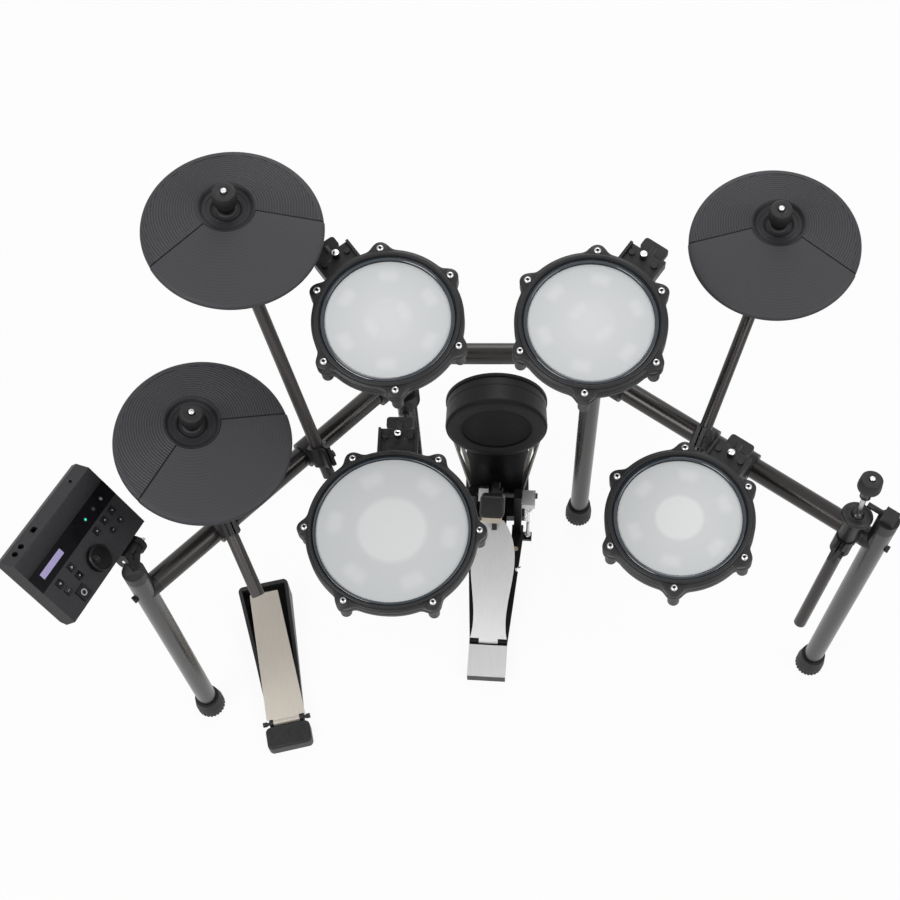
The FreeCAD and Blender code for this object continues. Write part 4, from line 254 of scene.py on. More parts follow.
def coords(tree, scale=(1, 1, 1), turn=(0, 0, 0)):
    """Object coordinates through a mapping."""
    place = add_node(tree, "TexCoord").outputs["Object"]
    return add_node(tree, "Mapping", Vector=place, Scale=scale, Rotation=turn).outputs["Vector"]


def noise(tree, vector, scale, detail=3.0, roughness=0.55):
    """A noise texture's value."""
    node = add_node(tree, "TexNoise", Vector=vector, Scale=scale, Detail=detail, Roughness=roughness)
    return node.outputs["Fac"]


def spread(tree, value, low, high, from_low=0.3, from_high=0.7):
    """A value mapped onto a range."""
    node = add_node(
        tree, "MapRange", Value=value, From_Min=from_low, From_Max=from_high, To_Min=low, To_Max=high)
    return node.outputs["Result"]


def blend_colors(tree, factor, first, second):
    """Two colours mixed by a factor; a colour may be a value or a socket."""
    node = add_node(tree, "Mix")
    node.data_type = "RGBA"
    for socket, color in ((node.inputs[6], first), (node.inputs[7], second)):
        feed(tree, socket, (*color, 1) if isinstance(color, tuple) else color)
    feed(tree, node.inputs[0], factor)
    return node.outputs[2]


def math_node(tree, operation, first, second=None):
    """A math node on sockets or numbers."""
    node = add_node(tree, "Math")
    node.operation = operation
    for socket, value in zip(node.inputs, (first, second)):
        if value is not None:
            feed(tree, socket, value)
    return node.outputs[0]


def length_of(tree, vector):
    """A vector's length."""
    node = add_node(tree, "VectorMath")
    node.operation = "LENGTH"
    feed(tree, node.inputs[0], vector)
    return node.outputs["Value"]


def surface(tree, principled, color, gloss_by, rough):
    """Sets a shader's colour, and its roughness as a value spread over a range."""
    tree.links.new(color, principled.inputs["Base Color"])
    tree.links.new(spread(tree, gloss_by, rough[0], rough[1]), principled.inputs["Roughness"])


def bump(tree, principled, height, strength, distance):
    """Surface relief from a height socket."""
    node = add_node(tree, "Bump", Strength=strength, Distance=distance, Height=height)
    tree.links.new(node.outputs["Normal"], principled.inputs["Normal"])


def mottled(name, dark, light, rough, grain, relief, specular=0.5, **inputs):
    """A moulded or painted surface: mottled colour, uneven gloss and a fine grain."""
    material, tree, principled = shader(name, dark, rough[0], Specular_IOR_Level=specular, **inputs)
    place = coords(tree)
    cloud = noise(tree, place, grain / CLOUD_PER_GRAIN)
    surface(tree, principled, blend_colors(tree, spread(tree, cloud, 0, 1), dark, light), cloud, rough)
    bump(tree, principled, noise(tree, place, grain, 2.0), relief, GRAIN_DEEP)
    return material


def grooved(name, dark, light, groove_shade, bell, pitch, rough):
    """Moulded rubber: painted shade in the grooves about the object's own z axis, and a darker bell inside
    them.
    """
    material, tree, principled = shader(name, dark, rough[0], Specular_IOR_Level=0.3)
    place = coords(tree)
    away = math_node(tree, "SUBTRACT", length_of(tree, coords(tree, (1, 1, 0))), GROOVES_FROM)
    wave = math_node(tree, "SINE", math_node(tree, "MULTIPLY", away, math.pi / pitch))
    depth = math_node(tree, "MULTIPLY", wave, wave)
    outside = math_node(tree, "GREATER_THAN", away, 0.0)
    cloud = noise(tree, place, 90)
    plain = blend_colors(tree, spread(tree, cloud, 0, 1), dark, light)
    shade = math_node(tree, "MULTIPLY", depth, outside)
    # Painted shade: the groove colour darkens the rubber down in each groove.
    lined = blend_colors(tree, shade, plain, groove_shade)
    surface(tree, principled, blend_colors(tree, outside, bell, lined), cloud, rough)
    bump(tree, principled, noise(tree, place, 1500, 2.0), 0.12, GRAIN_DEEP)
    return material


def brushed(name, dark, light, rough, along, metallic):
    """Metal brushed along one direction of the floor plan, given as an angle in degrees."""
    material, tree, principled = shader(name, light, rough[0], Metallic=metallic)
    streaks = coords(tree, (900, 14, 200), (0, 0, math.radians(-along)))
    line = noise(tree, streaks, 1.0, 4.0, 0.7)
    cloud = noise(tree, coords(tree), 9.0)
    strong = math_node(tree, "MULTIPLY", line, 0.7)
    tint = math_node(tree, "ADD", strong, math_node(tree, "MULTIPLY", cloud, 0.3))
    surface(tree, principled, blend_colors(tree, spread(tree, tint, 0, 1), dark, light), line, rough)
    bump(tree, principled, line, 0.12, BRUSH_DEEP)
    return material


# Materials

PAINT = mottled(
    "satin_black_paint", (0.012, 0.0108, 0.0102), (0.015, 0.0136, 0.0128), (0.23, 0.29), 120, 0.0,
    Specular_Tint=(1.0, 0.95, 0.935, 1.0))
PLASTIC = mottled(
    "moulded_black", (0.011, 0.011, 0.012), (0.017, 0.017, 0.018), (0.40, 0.50), 2200, 0.15, specular=0.35)
RUBBER = mottled(
    "black_rubber", (0.014, 0.014, 0.015), (0.021, 0.020, 0.021), (0.52, 0.66), 1800, 0.25, specular=0.3)
HOOP_RUBBER = mottled(
    "hoop_rubber", (0.008, 0.008, 0.009), (0.012, 0.012, 0.0135), (0.38, 0.46), 1700, 0.12, specular=0.35)
# The third colour is painted shade in the bow's grooves.
CYMBAL_RUBBER = grooved(
    "cymbal_rubber", (0.048, 0.0455, 0.0505), (0.054, 0.0512, 0.0565), (0.023, 0.0218, 0.0245),
    (0.021, 0.020, 0.0225), GROOVE_PITCH, (0.48, 0.58))
# The third colour is a faint painted shade in the zone's grooves.
ZONE_RUBBER = grooved(
    "zone_rubber", (0.044, 0.042, 0.046), (0.049, 0.0468, 0.0512), (0.0405, 0.0387, 0.0424),
    (0.044, 0.042, 0.046), ZONE_PITCH, (0.50, 0.60))
GLOSS_RING = mottled(
    "gloss_ring", (0.008, 0.016, 0.025), (0.011, 0.022, 0.034), (0.10, 0.16), 800, 0.02, Coat_Weight=0.6)
STEEL = mottled("plated_steel", (0.50, 0.50, 0.51), (0.60, 0.60, 0.61), (0.24, 0.34), 300, 0.0, Metallic=1.0)
BOLT = mottled(
    "black_bolt", (0.022, 0.022, 0.024), (0.038, 0.038, 0.040), (0.30, 0.42), 1500, 0.08, Metallic=0.6)
CHROME = mottled("chrome", (0.80, 0.80, 0.81), (0.88, 0.88, 0.89), (0.07, 0.14), 300, 0.0, Metallic=1.0)
BOARD = brushed("brushed_aluminium", (0.70, 0.70, 0.69), (0.82, 0.82, 0.81), (0.36, 0.46), -3.3, 0.35)
HAT_BOARD = brushed("brushed_steel", (0.46, 0.42, 0.365), (0.54, 0.50, 0.44), (0.36, 0.46), 13.0, 0.5)
CASE = mottled(
    "module_case", (0.025, 0.0245, 0.027), (0.031, 0.0305, 0.033), (0.44, 0.54), 2600, 0.18, specular=0.26)
BRACE = mottled("beige_paint", (0.47, 0.44, 0.40), (0.54, 0.51, 0.465), (0.42, 0.55), 900, 0.06)
NUT_RUBBER = mottled(
    "nut_rubber", (0.012, 0.0118, 0.013), (0.017, 0.0167, 0.018), (0.46, 0.58), 1600, 0.15, specular=0.35)
KICK_RUBBER = mottled(
    "kick_rubber", (0.0045, 0.0043, 0.005), (0.007, 0.0067, 0.0078), (0.42, 0.52), 1500, 0.1, specular=0.2)
# Painted light: a lighter copy of the black tube paint, so the hi-hat pipes look lit.
LIT_PIPE_PAINT = mottled("lit_pipe_paint", (0.052, 0.0465, 0.0435), (0.060, 0.054, 0.0505), (0.32, 0.40), 120, 0.0)
KICK_DISC = mottled(
    "kick_disc", (0.0018, 0.0017, 0.002), (0.003, 0.0028, 0.0032), (0.40, 0.50), 1500, 0.1, specular=0.14)
TOWER = mottled(
    "tower_paint", (0.0035, 0.0033, 0.0035), (0.005, 0.0047, 0.005), (0.30, 0.40), 700, 0.03, specular=0.22)
BALL = mottled("ball_gloss", (0.012, 0.012, 0.013), (0.018, 0.018, 0.019), (0.14, 0.24), 1500, 0.05)
WINDOW = mottled(
    "gloss_window", (0.004, 0.004, 0.005), (0.007, 0.006, 0.008), (0.20, 0.26), 900, 0.0, specular=0.1)
DIAL = mottled(
    "satin_dial", (0.003, 0.003, 0.0035), (0.004, 0.004, 0.0045), (0.26, 0.30), 300, 0.0, specular=0.22)
LAMP_RING = mottled("lamp_ring", (0.020, 0.020, 0.022), (0.030, 0.030, 0.033), (0.20, 0.30), 1200, 0.02)
LAMP_PALE = mottled("pale_mark", (0.45, 0.48, 0.52), (0.55, 0.58, 0.62), (0.4, 0.5), 1200, 0.02)
LAMP_DIM = mottled("dim_mark", (0.07, 0.072, 0.078), (0.09, 0.092, 0.098), (0.4, 0.5), 1200, 0.02)
FELT = mottled("beater_felt", (0.84, 0.74, 0.58), (0.91, 0.82, 0.67), (0.85, 0.95), 1500, 0.9)
TAN = mottled("tan_rubber", (0.46, 0.36, 0.24), (0.54, 0.43, 0.30), (0.6, 0.7), 1500, 0.1)
KEY = mottled(
    "key_rubber", (0.005, 0.005, 0.006), (0.008, 0.008, 0.009), (0.36, 0.46), 2000, 0.08, specular=0.25)


def woven(name, radius, patch, patch_share, facet_share):
    """A silver woven head: fine weave, painted shade darkening from the middle to the edge, a pale middle
    disc and pale soft-edged facets round it.
    """
    material, tree, principled = shader(name, (0.56, 0.565, 0.57), 0.5, Specular_IOR_Level=0.3)
    place = coords(tree)
    out = length_of(tree, place)
    middle = spread(tree, out, patch_share, 0.0, patch * 0.92, patch * 1.08)
    parts = add_node(tree, "SeparateXYZ", Vector=place)
    around = math_node(tree, "ARCTAN2", parts.outputs["Y"], parts.outputs["X"])
    pale = middle
    for count, phase, inner, outer in ((6, 0.7, 0.62, 0.90), (2, 0.3, 0.14, 0.42)):
        angle = math_node(tree, "ADD", math_node(tree, "MULTIPLY", around, count), phase)
        wave = math_node(tree, "COSINE", angle)
        sector = spread(tree, wave, 0.0, facet_share, 0.05, 0.75)
        inside = spread(tree, out, 0.0, 1.0, radius * inner, radius * (inner + 0.10))
        outside = spread(tree, out, 1.0, 0.0, radius * (outer - 0.10), radius * outer)
        ring = math_node(tree, "MULTIPLY", inside, outside)
        pale = math_node(tree, "MAXIMUM", pale, math_node(tree, "MULTIPLY", ring, sector))
    # Painted shade: the silver darkens from the middle out to the head's edge.
    shade = spread(tree, out, 0.0, 1.0, 0.0, radius)
    silver = blend_colors(tree, shade, (0.625, 0.632, 0.632), (0.555, 0.567, 0.57))
    tree.links.new(blend_colors(tree, pale, silver, (0.755, 0.755, 0.745)), principled.inputs["Base Color"])
    threads = []
    for turn in (0, math.pi / 2):
        wave = add_node(tree, "TexWave", Scale=260.0, Vector=coords(tree, turn=(0, 0, turn)))
        threads.append(wave.outputs["Fac"])
    bump(tree, principled, math_node(tree, "MULTIPLY", *threads), 0.15, WEAVE_DEEP)
    return material


HEADS = {
    "snare": woven("snare_weave", HEAD_RADIUS["snare"], 50 * MM, 0.62, 0.36),
    "left_tom": woven("left_tom_weave", HEAD_RADIUS["tom"], 33 * MM, 0.1, 0.34),
    "right_tom": woven("right_tom_weave", HEAD_RADIUS["tom"], 33 * MM, 0.1, 0.34),
    "floor_tom": woven("floor_tom_weave", HEAD_RADIUS["tom"], 34 * MM, 0.68, 0.36),
}


def glowing(name, color, strength):
    """A lit lens: uneven glow under a gloss."""
    material, tree, principled = shader(name, color, 0.25, Emission_Strength=strength)
    cloud = noise(tree, coords(tree), 500)
    bright = tuple(min(1.0, channel * 1.15 + 0.02) for channel in color)
    lit = blend_colors(tree, spread(tree, cloud, 0, 1), color, bright)
    tree.links.new(lit, principled.inputs["Emission Color"])
    return material


def display():
    """A lit lilac display with two rows of blank cells, some a shade darker."""
    material, tree, principled = shader("display", (0.28, 0.24, 0.42), 0.2, Emission_Strength=0.26)
    bricks = add_node(
        tree, "TexBrick", Vector=coords(tree), Scale=1.0, Brick_Width=3.0 * MM, Row_Height=4.2 * MM,
        Mortar_Size=0.25 * MM, Color1=(0.42, 0.35, 0.60, 1), Color2=(0.35, 0.30, 0.54, 1),
        Mortar=(0.48, 0.41, 0.68, 1))
    bricks.offset = 0.0
    tree.links.new(bricks.outputs["Color"], principled.inputs["Emission Color"])
    return material


LAMP_GREEN = glowing("green_lamp", (0.02, 0.62, 0.45), 0.9)
# Painted light: the keys' white print glows faintly, though it is no lamp.
WHITE_PRINT_GLOW = glowing("white_print_glow", (0.34, 0.355, 0.38), 0.04)
DISPLAY = display()


# Mesh helpers

def axes_matrix(origin, z_axis, x_hint):
    """A frame with its z axis given and its x axis as near the hint as it can be."""
    z_dir = z_axis.normalized()
    x_dir = (x_hint - z_dir * x_hint.dot(z_dir)).normalized()
    y_dir = z_dir.cross(x_dir)
    matrix = Matrix((x_dir, y_dir, z_dir)).transposed().to_4x4()
    matrix.translation = origin
    return matrix


def add_object(name, data):
    """A new object in the scene."""
    made = bpy.data.objects.new(name, data)
    bpy.context.scene.collection.objects.link(made)
    return made


def add_piece(name, bm, material, body, matrix=None, replaces=()):
    """A finished piece from a bmesh: shaded, placed, riding its body."""
    bmesh.ops.recalc_face_normals(bm, faces=bm.faces)
    mesh = bpy.data.meshes.new(name)
    bm.to_mesh(mesh)
    bm.free()
    mesh.polygons.foreach_set("use_smooth", [True] * len(mesh.polygons))
    mesh.set_sharp_from_angle(angle=SMOOTH_ANGLE)
    for one in material if isinstance(material, list) else [material]:
        mesh.materials.append(one)
    piece = add_object(name, mesh)
    if matrix is not None:
        piece.matrix_world = matrix
    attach(piece, body)
    if replaces:
        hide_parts(*replaces)
    return piece


def rounded(points, radius, steps=3):
    """A closed outline of radius and height pairs with its corners rounded."""
    made = []
    count = len(points)
    for index, point in enumerate(points):
        here = Vector(point)
        before = Vector(points[index - 1]) - here
        after = Vector(points[(index + 1) % count]) - here
        reach = min(radius, before.length * 0.45, after.length * 0.45)
        start = here + before.normalized() * reach
        end = here + after.normalized() * reach
        for step in range(steps + 1):
            share = step / steps
            made.append(start * (1 - share) ** 2 + here * 2 * share * (1 - share) + end * share ** 2)
    return [tuple(point) for point in made]


def in_mm(outline, up=0.0):
    """An outline of pairs in millimetres, turned to metres and raised."""
    return [(radius * MM, up + height * MM) for radius, height in outline]


def oval(middle, up, wide, high, steps):
    """An oval's outline about a middle, by its half width and half height."""
    angles = [TURN * step / steps for step in range(steps)]
    return [(middle + math.cos(angle) * wide, up + math.sin(angle) * high) for angle in angles]


def aim_at(angle):
    """The level unit vector at an angle."""
    return Vector((math.cos(angle), math.sin(angle), 0))


def join_rings(bm, rings):
    """Faces between neighbouring rings of vertices, closed both ways, as one list for each ring."""
    made = []
    for one, two in zip(rings, rings[1:] + rings[:1]):
        corners = zip(one, two, two[1:] + two[:1], one[1:] + one[:1])
        made.append([bm.faces.new(four) for four in corners])
    return made


def turned(segments, outline_at):
    """A closed ring of sections about z; outline_at gives the radius and height pairs at each angle."""
    bm = bmesh.new()
    rings = []
    for step in range(segments):
        angle = TURN * step / segments
        aim = aim_at(angle)
        rings.append([bm.verts.new(aim * radius + UP * height) for radius, height in outline_at(angle)])
    join_rings(bm, rings)
    bmesh.ops.remove_doubles(bm, verts=bm.verts, dist=WELD)
    return bm


def lathe(outline, segments=96):
    """A closed outline of radius and height pairs turned about z."""
    return turned(segments, lambda angle: outline)


# CAD nodes with a better finish

def solids_of(bm):
    """The separate solids in a bmesh, as lists of faces. Where solids touch, an edge has more than two."""
    seen = set()
    groups = []
    for start in bm.faces:
        if start in seen:
            continue
        group = []
        queue = [start]
        seen.add(start)
        while queue:
            face = queue.pop()
            group.append(face)
            for edge in face.edges:
                if len(edge.link_faces) != 2:
                    continue
                for other in edge.link_faces:
                    if other not in seen:
                        seen.add(other)
                        queue.append(other)
        groups.append(group)
    return groups


def dress(node, materials, choose=None):
    """Stands a smooth-shaded copy in for a CAD node; choose gives each solid's material, None drops it."""
    bm = bmesh.new()
    bm.from_mesh(frame["nodes"][node].data)
    bmesh.ops.remove_doubles(bm, verts=bm.verts, dist=CAD_WELD)
    bmesh.ops.dissolve_limit(bm, angle_limit=FLAT_ANGLE, verts=bm.verts, edges=bm.edges)
    if choose:
        for group in solids_of(bm):
            points = [vertex.co for face in group for vertex in face.verts]
            low = Vector([min(point[axis] for point in points) for axis in range(3)])
            high = Vector([max(point[axis] for point in points) for axis in range(3)])
            index = choose(low, high)
            if index is None:
                bmesh.ops.delete(bm, geom=group, context="FACES")
                continue
            for face in group:
                face.material_index = index
    add_piece(node + "_finish", bm, materials, BODY_OF[node], replaces=(node,))


def clamp_finish(low, high):
    """Clamp bodies 0, level bolts 1, the bright screw through the module's fork 2."""
    size = high - low
    at_fork = ((low + high) / 2 - JOINT_PLACES["module_tilt"]).length < 12 * MM
    level_bolt = size.z < 14 * MM and size.length < 75 * MM
    if at_fork and size.length < 70 * MM:
        return 2
    return 1 if level_bolt else 0


def tower_finish(low, high):
    """The tower's finishes: black column, pale braces, black bolts, rubber mat."""
    size = high - low
    flat = size.z < 4.5 * MM
    tall = high.z > 250 * MM
    if size.length < SMALL_PIECE:
        return 2
    if flat:
        return 3
    return 1 if tall else 0


def pedal_base_finish(low, high):
    """The pedal base's finishes: black frame, pale heel plate, steel pin and eye bolt, rubber sole."""
    size = high - low
    sole = high.z < 4 * MM
    heel_plate = low.z > 23 * MM and size.y > 40 * MM
    pin = low.z > 20 * MM and size.z < 6 * MM
    eye_bolt = size.x < 14 * MM and 60 * MM < high.z < 75 * MM
    if sole:
        return 3
    if heel_plate:
        return 1
    return 2 if pin or eye_bolt else 0


def beater_finish(low, high):
    """The beater's finishes: painted shaft, felt, moulded head and hub, steel stem, lever and rocker."""
    size = high - low
    shaft = size.x > 100 * MM
    felt = low.y < -144 * MM
    head = low.y < -130 * MM
    metal = size.x < 12 * MM or low.x > 40 * MM or high.x < -15 * MM
    if shaft:
        return 0
    if felt:
        return 1
    return 3 if metal and not head else 2


def hat_base_finish(low, high):
    """The control pedal's finishes: black tray and heel cap, and a dark pin."""
    pin = (high - low).z < 12 * MM
    return 1 if pin else 0


def paint_cad():
    """Finishes for the pieces whose CAD shape stays."""
    tubes = ("middle_legs", "left_leg", "right_leg", "centre_bar", "left_bar", "right_bar")
    for node in tubes + ("right_pipes", "pad_rods"):
        dress(node, PAINT)
    # The hi-hat pipes take the lighter copy of the tube paint as painted light.
    dress("left_pipes", LIT_PIPE_PAINT)
    for node in ("centre_clamps", "left_clamps", "right_clamps"):
        dress(node, [PLASTIC, BOLT, CHROME], clamp_finish)
    for node in ("middle_feet", "left_foot", "right_foot"):
        dress(node, RUBBER)
    dress("kick_tower", [TOWER, BRACE, BOLT, RUBBER], tower_finish)
    dress("pedal_base", [TOWER, BOARD, STEEL, KICK_RUBBER], pedal_base_finish)
    dress("pedal_footboard", BOARD)
    dress("pedal_beater", [PAINT, FELT, PLASTIC, STEEL], beater_finish)
    dress("pedal_spring", CHROME)
    dress("pedal_strap", PLASTIC)
    dress("hihat_pedal_base", [PLASTIC, BOLT], hat_base_finish)
    dress("hihat_pedal_board", HAT_BOARD)
    dress("module_base", CASE)
    dress("module_top", CASE)
    dress("module_window", WINDOW)
    for node in KEY_SHARES:
        dress(node, KEY)


# Drum pads

def lean_normal(lean_x, lean_y):
    """The upward normal of a face leaning by two angles in degrees."""
    return Vector((math.tan(math.radians(lean_x)), math.tan(math.radians(lean_y)), 1)).normalized()


def pad_matrix(pad):
    """A pad's frame: the head's middle, z out of the head, y towards its bracket."""
    low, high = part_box(pad + "_head")
    normal = lean_normal(*PAD_LEANS[pad])
    bracket = JOINT_PLACES[pad + "_swing"]
    middle = (low + high) / 2 + normal * (HEAD_CAD_THICK / 2)
    return axes_matrix(middle, normal, (bracket - middle).cross(normal))


def bolt_spots(hoop_radius):
    """Where the tension bolts stand in the pad's frame."""
    circle = hoop_radius + EAR_OUT
    angles = [TURN / 4 + LUG_PHASE + TURN * step / LUGS for step in range(LUGS)]
    return [aim_at(angle) * circle for angle in angles]


def eared_radius(hoop_radius, angle):
    """The hoop's outer radius at an angle, swelling smoothly round each ear."""
    aim = aim_at(angle)
    low = hoop_radius
    high = hoop_radius + EAR_OUT + EAR_RADIUS * 1.5
    for _ in range(26):
        middle = (low + high) / 2
        outside = middle - hoop_radius
        for spot in bolt_spots(hoop_radius):
            ear = (aim * middle - spot).length - EAR_RADIUS
            near = max(EAR_BLEND - abs(outside - ear), 0) / EAR_BLEND
            outside = min(outside, ear) - near * near * EAR_BLEND / 4
        if outside < 0:
            low = middle
        else:
            high = middle
    return low


def hoop_outline(head_radius, hoop_radius, outer):
    """The hoop's section at one angle, as radius and height pairs."""
    width = hoop_radius - head_radius
    inside = head_radius + HEAD_TUCK
    section = [(inside, -HOOP_DROP), (inside, 0.4 * MM), (head_radius, 0.4 * MM), (head_radius, 1.5 * MM)]
    crest = [
        (0.32, 2.2 * MM), (0.37, 2.6 * MM), (0.41, HOOP_TOP - 1.6 * MM), (0.47, HOOP_TOP - 0.3 * MM),
        (0.53, HOOP_TOP), (0.63, HOOP_TOP), (0.69, HOOP_TOP - 0.4 * MM), (0.74, HOOP_TOP - 1.6 * MM),
        (0.77, EAR_TOP + 0.7 * MM), (0.82, EAR_TOP),
    ]
    section.extend((head_radius + width * share, height) for share, height in crest)
    side = [
        (1.8, EAR_TOP - 0.1 * MM), (0.7, EAR_TOP - 0.7 * MM), (0, EAR_TOP - 2.2 * MM), (0, -6.0 * MM),
        (0.7, -6.8 * MM), (0.7, -8.6 * MM), (0, -9.4 * MM), (0, 1.2 * MM - HOOP_DROP), (1.2, -HOOP_DROP),
    ]
    section.extend((outer - inset * MM, height) for inset, height in side)
    return section


def hoop_mesh(head_radius, hoop_radius):
    """The rubber hoop with its ears."""
    return turned(
        HOOP_STEPS, lambda angle: hoop_outline(head_radius, hoop_radius, eared_radius(hoop_radius, angle)))


def tension_bolts(hoop_radius):
    """Six plated bolts with domed heads, sockets darkened by painted shade, and their shanks."""
    bm = bmesh.new()
    foot = -HOOP_DROP - BOLT_REACH
    socket = 2.3 * MM
    head = [(2.4, 0), (5.4, 0), (5.4, 1.2), (4.8, 2.6), (3.6, 3.6), (2.3, 3.9), (2.3, 1.6), (0, 1.6)]
    outline = [(0, foot), (2.4 * MM, foot)] + in_mm(head, EAR_TOP)
    for spot in bolt_spots(hoop_radius):
        one = lathe(outline, 24)
        # Painted shade: the faces inside each socket take the dark bolt finish.
        for face in one.faces:
            if max(vertex.co.xy.length for vertex in face.verts) < socket + 0.01 * MM:
                face.material_index = 1
        for vertex in one.verts:
            vertex.co += spot
        copy_into(bm, one)
    return bm


def rod_end(pad):
    """The bright domed end of the upright rod that carries a pad."""
    joint = pad + "_swing"
    bm = lathe(in_mm([(0, 0), (5.3, 0), (5.3, 0.5), (4.6, 1.5), (2.8, 2.3), (0, 2.6)]), 32)
    place = Matrix.Translation(JOINT_PLACES[joint] + UP * ROD_REACH)
    add_piece(pad + "_rod_end", bm, CHROME, JOINTS[joint]["parent"], place)


def copy_into(bm, other):
    """Adds one bmesh's geometry to another and frees it."""
    mesh = bpy.data.meshes.new("scratch")
    other.to_mesh(mesh)
    other.free()
    bm.from_mesh(mesh)
    bpy.data.meshes.remove(mesh)


def head_edge(head_radius):
    """The woven head's own radius, just short of the hoop that holds it."""
    return head_radius + HEAD_TUCK - HEAD_GAP


def head_mesh(head_radius):
    """The woven head: a thin taut sheet that rolls down under the hoop."""
    edge = head_edge(head_radius)
    shares = (0.0, 0.25, 0.5, 0.75, 0.9, 0.96, 1.0)
    top = [(edge * share, -0.05 * MM - 0.5 * MM * share ** 8) for share in shares]
    bottom = [(radius, height - HEAD_THICK) for radius, height in reversed(top)]
    return lathe(top + bottom)


def drum_pad(pad, kind):
    """One pad: hoop, gloss ring, tension bolts, woven head, shell and wing bolt."""
    matrix = pad_matrix(pad)
    body = BODY_OF[pad + "_head"]
    head_radius = HEAD_RADIUS[kind]
    hoop_radius = HOOP_RADIUS[kind]
    width = hoop_radius - head_radius
    hoop = hoop_mesh(head_radius, hoop_radius)
    add_piece(pad + "_hoop_rubber", hoop, HOOP_RUBBER, body, matrix, (pad + "_hoop",))
    ring_middle = head_radius + width * RING_MIDDLE_SHARE
    ring = lathe(oval(ring_middle, RING_UP, width * RING_WIDE_SHARE, RING_HIGH, 12), 120)
    add_piece(pad + "_gloss_ring", ring, GLOSS_RING, body, matrix)
    add_piece(pad + "_tension_bolts", tension_bolts(hoop_radius), [STEEL, BOLT], body, matrix)
    rod_end(pad)
    head = add_piece(
        pad + "_woven_head", head_mesh(head_radius), HEADS[pad], body, matrix, (pad + "_head",))
    dress(pad + "_shell", PLASTIC)
    dress(pad + "_wing_bolt", PLASTIC)


# Cymbal pads

def cymbal_spot(base, share, angle):
    """A radius about the bell: a base radius plus a share of the way on to where the edge begins."""
    flat = CYMBAL_RADIUS - CYMBAL_EDGE
    reach = CYMBAL_SHIFT * math.cos(angle) + math.sqrt(flat ** 2 - (CYMBAL_SHIFT * math.sin(angle)) ** 2)
    return base + share * (reach - BELL_RADIUS)


def groove(radius, pitch):
    """How deep the grooves about the bell run at a radius."""
    turns = (radius - GROOVES_FROM) / pitch
    return GROOVE_DEPTH * math.sin(math.pi * turns) ** 2 if turns > 0 else 0.0


def cymbal_outline():
    """The cymbal's section: base radius, share of the bow, height and whether the seat sinks there."""
    bell = [
        (8.5, 12.4), (8.5, 16.8), (11.5, 16.2), (14.6, 14.6), (15.0, 13.4), (17.6, 13.4), (18.0, 14.4),
        (19.6, 14.6), (20.0, 12.8), (22.8, 12.8), (23.2, 14.8), (26.6, 15.2), (27.0, 14.6), (29.0, 14.8),
        (29.6, 15.6), (32.6, 16.0), (33.0, 15.5), (34.4, 15.8), (37.6, 20.2), (38.8, 20.8),
    ]
    points = [(radius * MM, 0, height * MM, False) for radius, height in bell]
    points.append((BELL_RADIUS, 0, BELL_RIM_UP, False))
    for step in range(1, BOW_STEPS + 1):
        share = step / BOW_STEPS
        points.append((BELL_RADIUS, share, BELL_RIM_UP - CYMBAL_RISE * share, step > 1))
    edge = BELL_RIM_UP - CYMBAL_RISE
    rim = [(3.5, -0.7), (5.4, -1.9), (6.6, -3.6), (7.0, -5.2), (6.5, -6.5), (5.0, -7.0)]
    points.extend((BELL_RADIUS + out * MM, 1, edge + down * MM, True) for out, down in rim)
    under = [(1.0, -6.4), (0.6, -2.8), (0.05, 2.2)]
    points.extend((BELL_RADIUS, share, edge + down * MM, False) for share, down in under)
    points.append((29.0 * MM, 0, edge + 1.6 * MM, False))
    points.append((14.0 * MM, 0, edge + 0.4 * MM, False))
    return points


def cymbal_mesh():
    """The grooved bow with a sunk seat for the playing zone; the zone points along +x. The seat's faces take
    the second, near-black finish as painted shade in the gap round the zone.
    """
    bm = bmesh.new()
    outline = cymbal_outline()
    inner_columns = 70
    outer_columns = 170
    columns = []
    for index in range(inner_columns + outer_columns + 2):
        ring = []
        for base, share, height, on_bow in outline:
            if index <= inner_columns:
                angle = -ZONE_HALF + 2 * ZONE_HALF * index / inner_columns
                radius = cymbal_spot(base, share, angle)
                height = height - (ZONE_SEAT if on_bow else 0)
            else:
                step = ZONE_STEP / max(base, BELL_RADIUS)
                place = (index - inner_columns - 1) / outer_columns
                angle = ZONE_HALF + step + (TURN - 2 * ZONE_HALF - 2 * step) * place
                radius = cymbal_spot(base, share, angle)
                height = height - (groove(radius, GROOVE_PITCH) if on_bow and share < BOW_END_SHARE else 0)
            ring.append(bm.verts.new((radius * math.cos(angle), radius * math.sin(angle), height)))
        columns.append(ring)
    # Painted shade: the sunk seat shows only in the gap round the zone, so it is painted near black.
    sunk = [spot[3] for spot in outline]
    for faces in join_rings(bm, columns)[:inner_columns]:
        for face, here, following in zip(faces, sunk, sunk[1:] + sunk[:1]):
            face.material_index = 1 if here and following else 0
    bmesh.ops.remove_doubles(bm, verts=bm.verts, dist=FINE_WELD)
    return bm


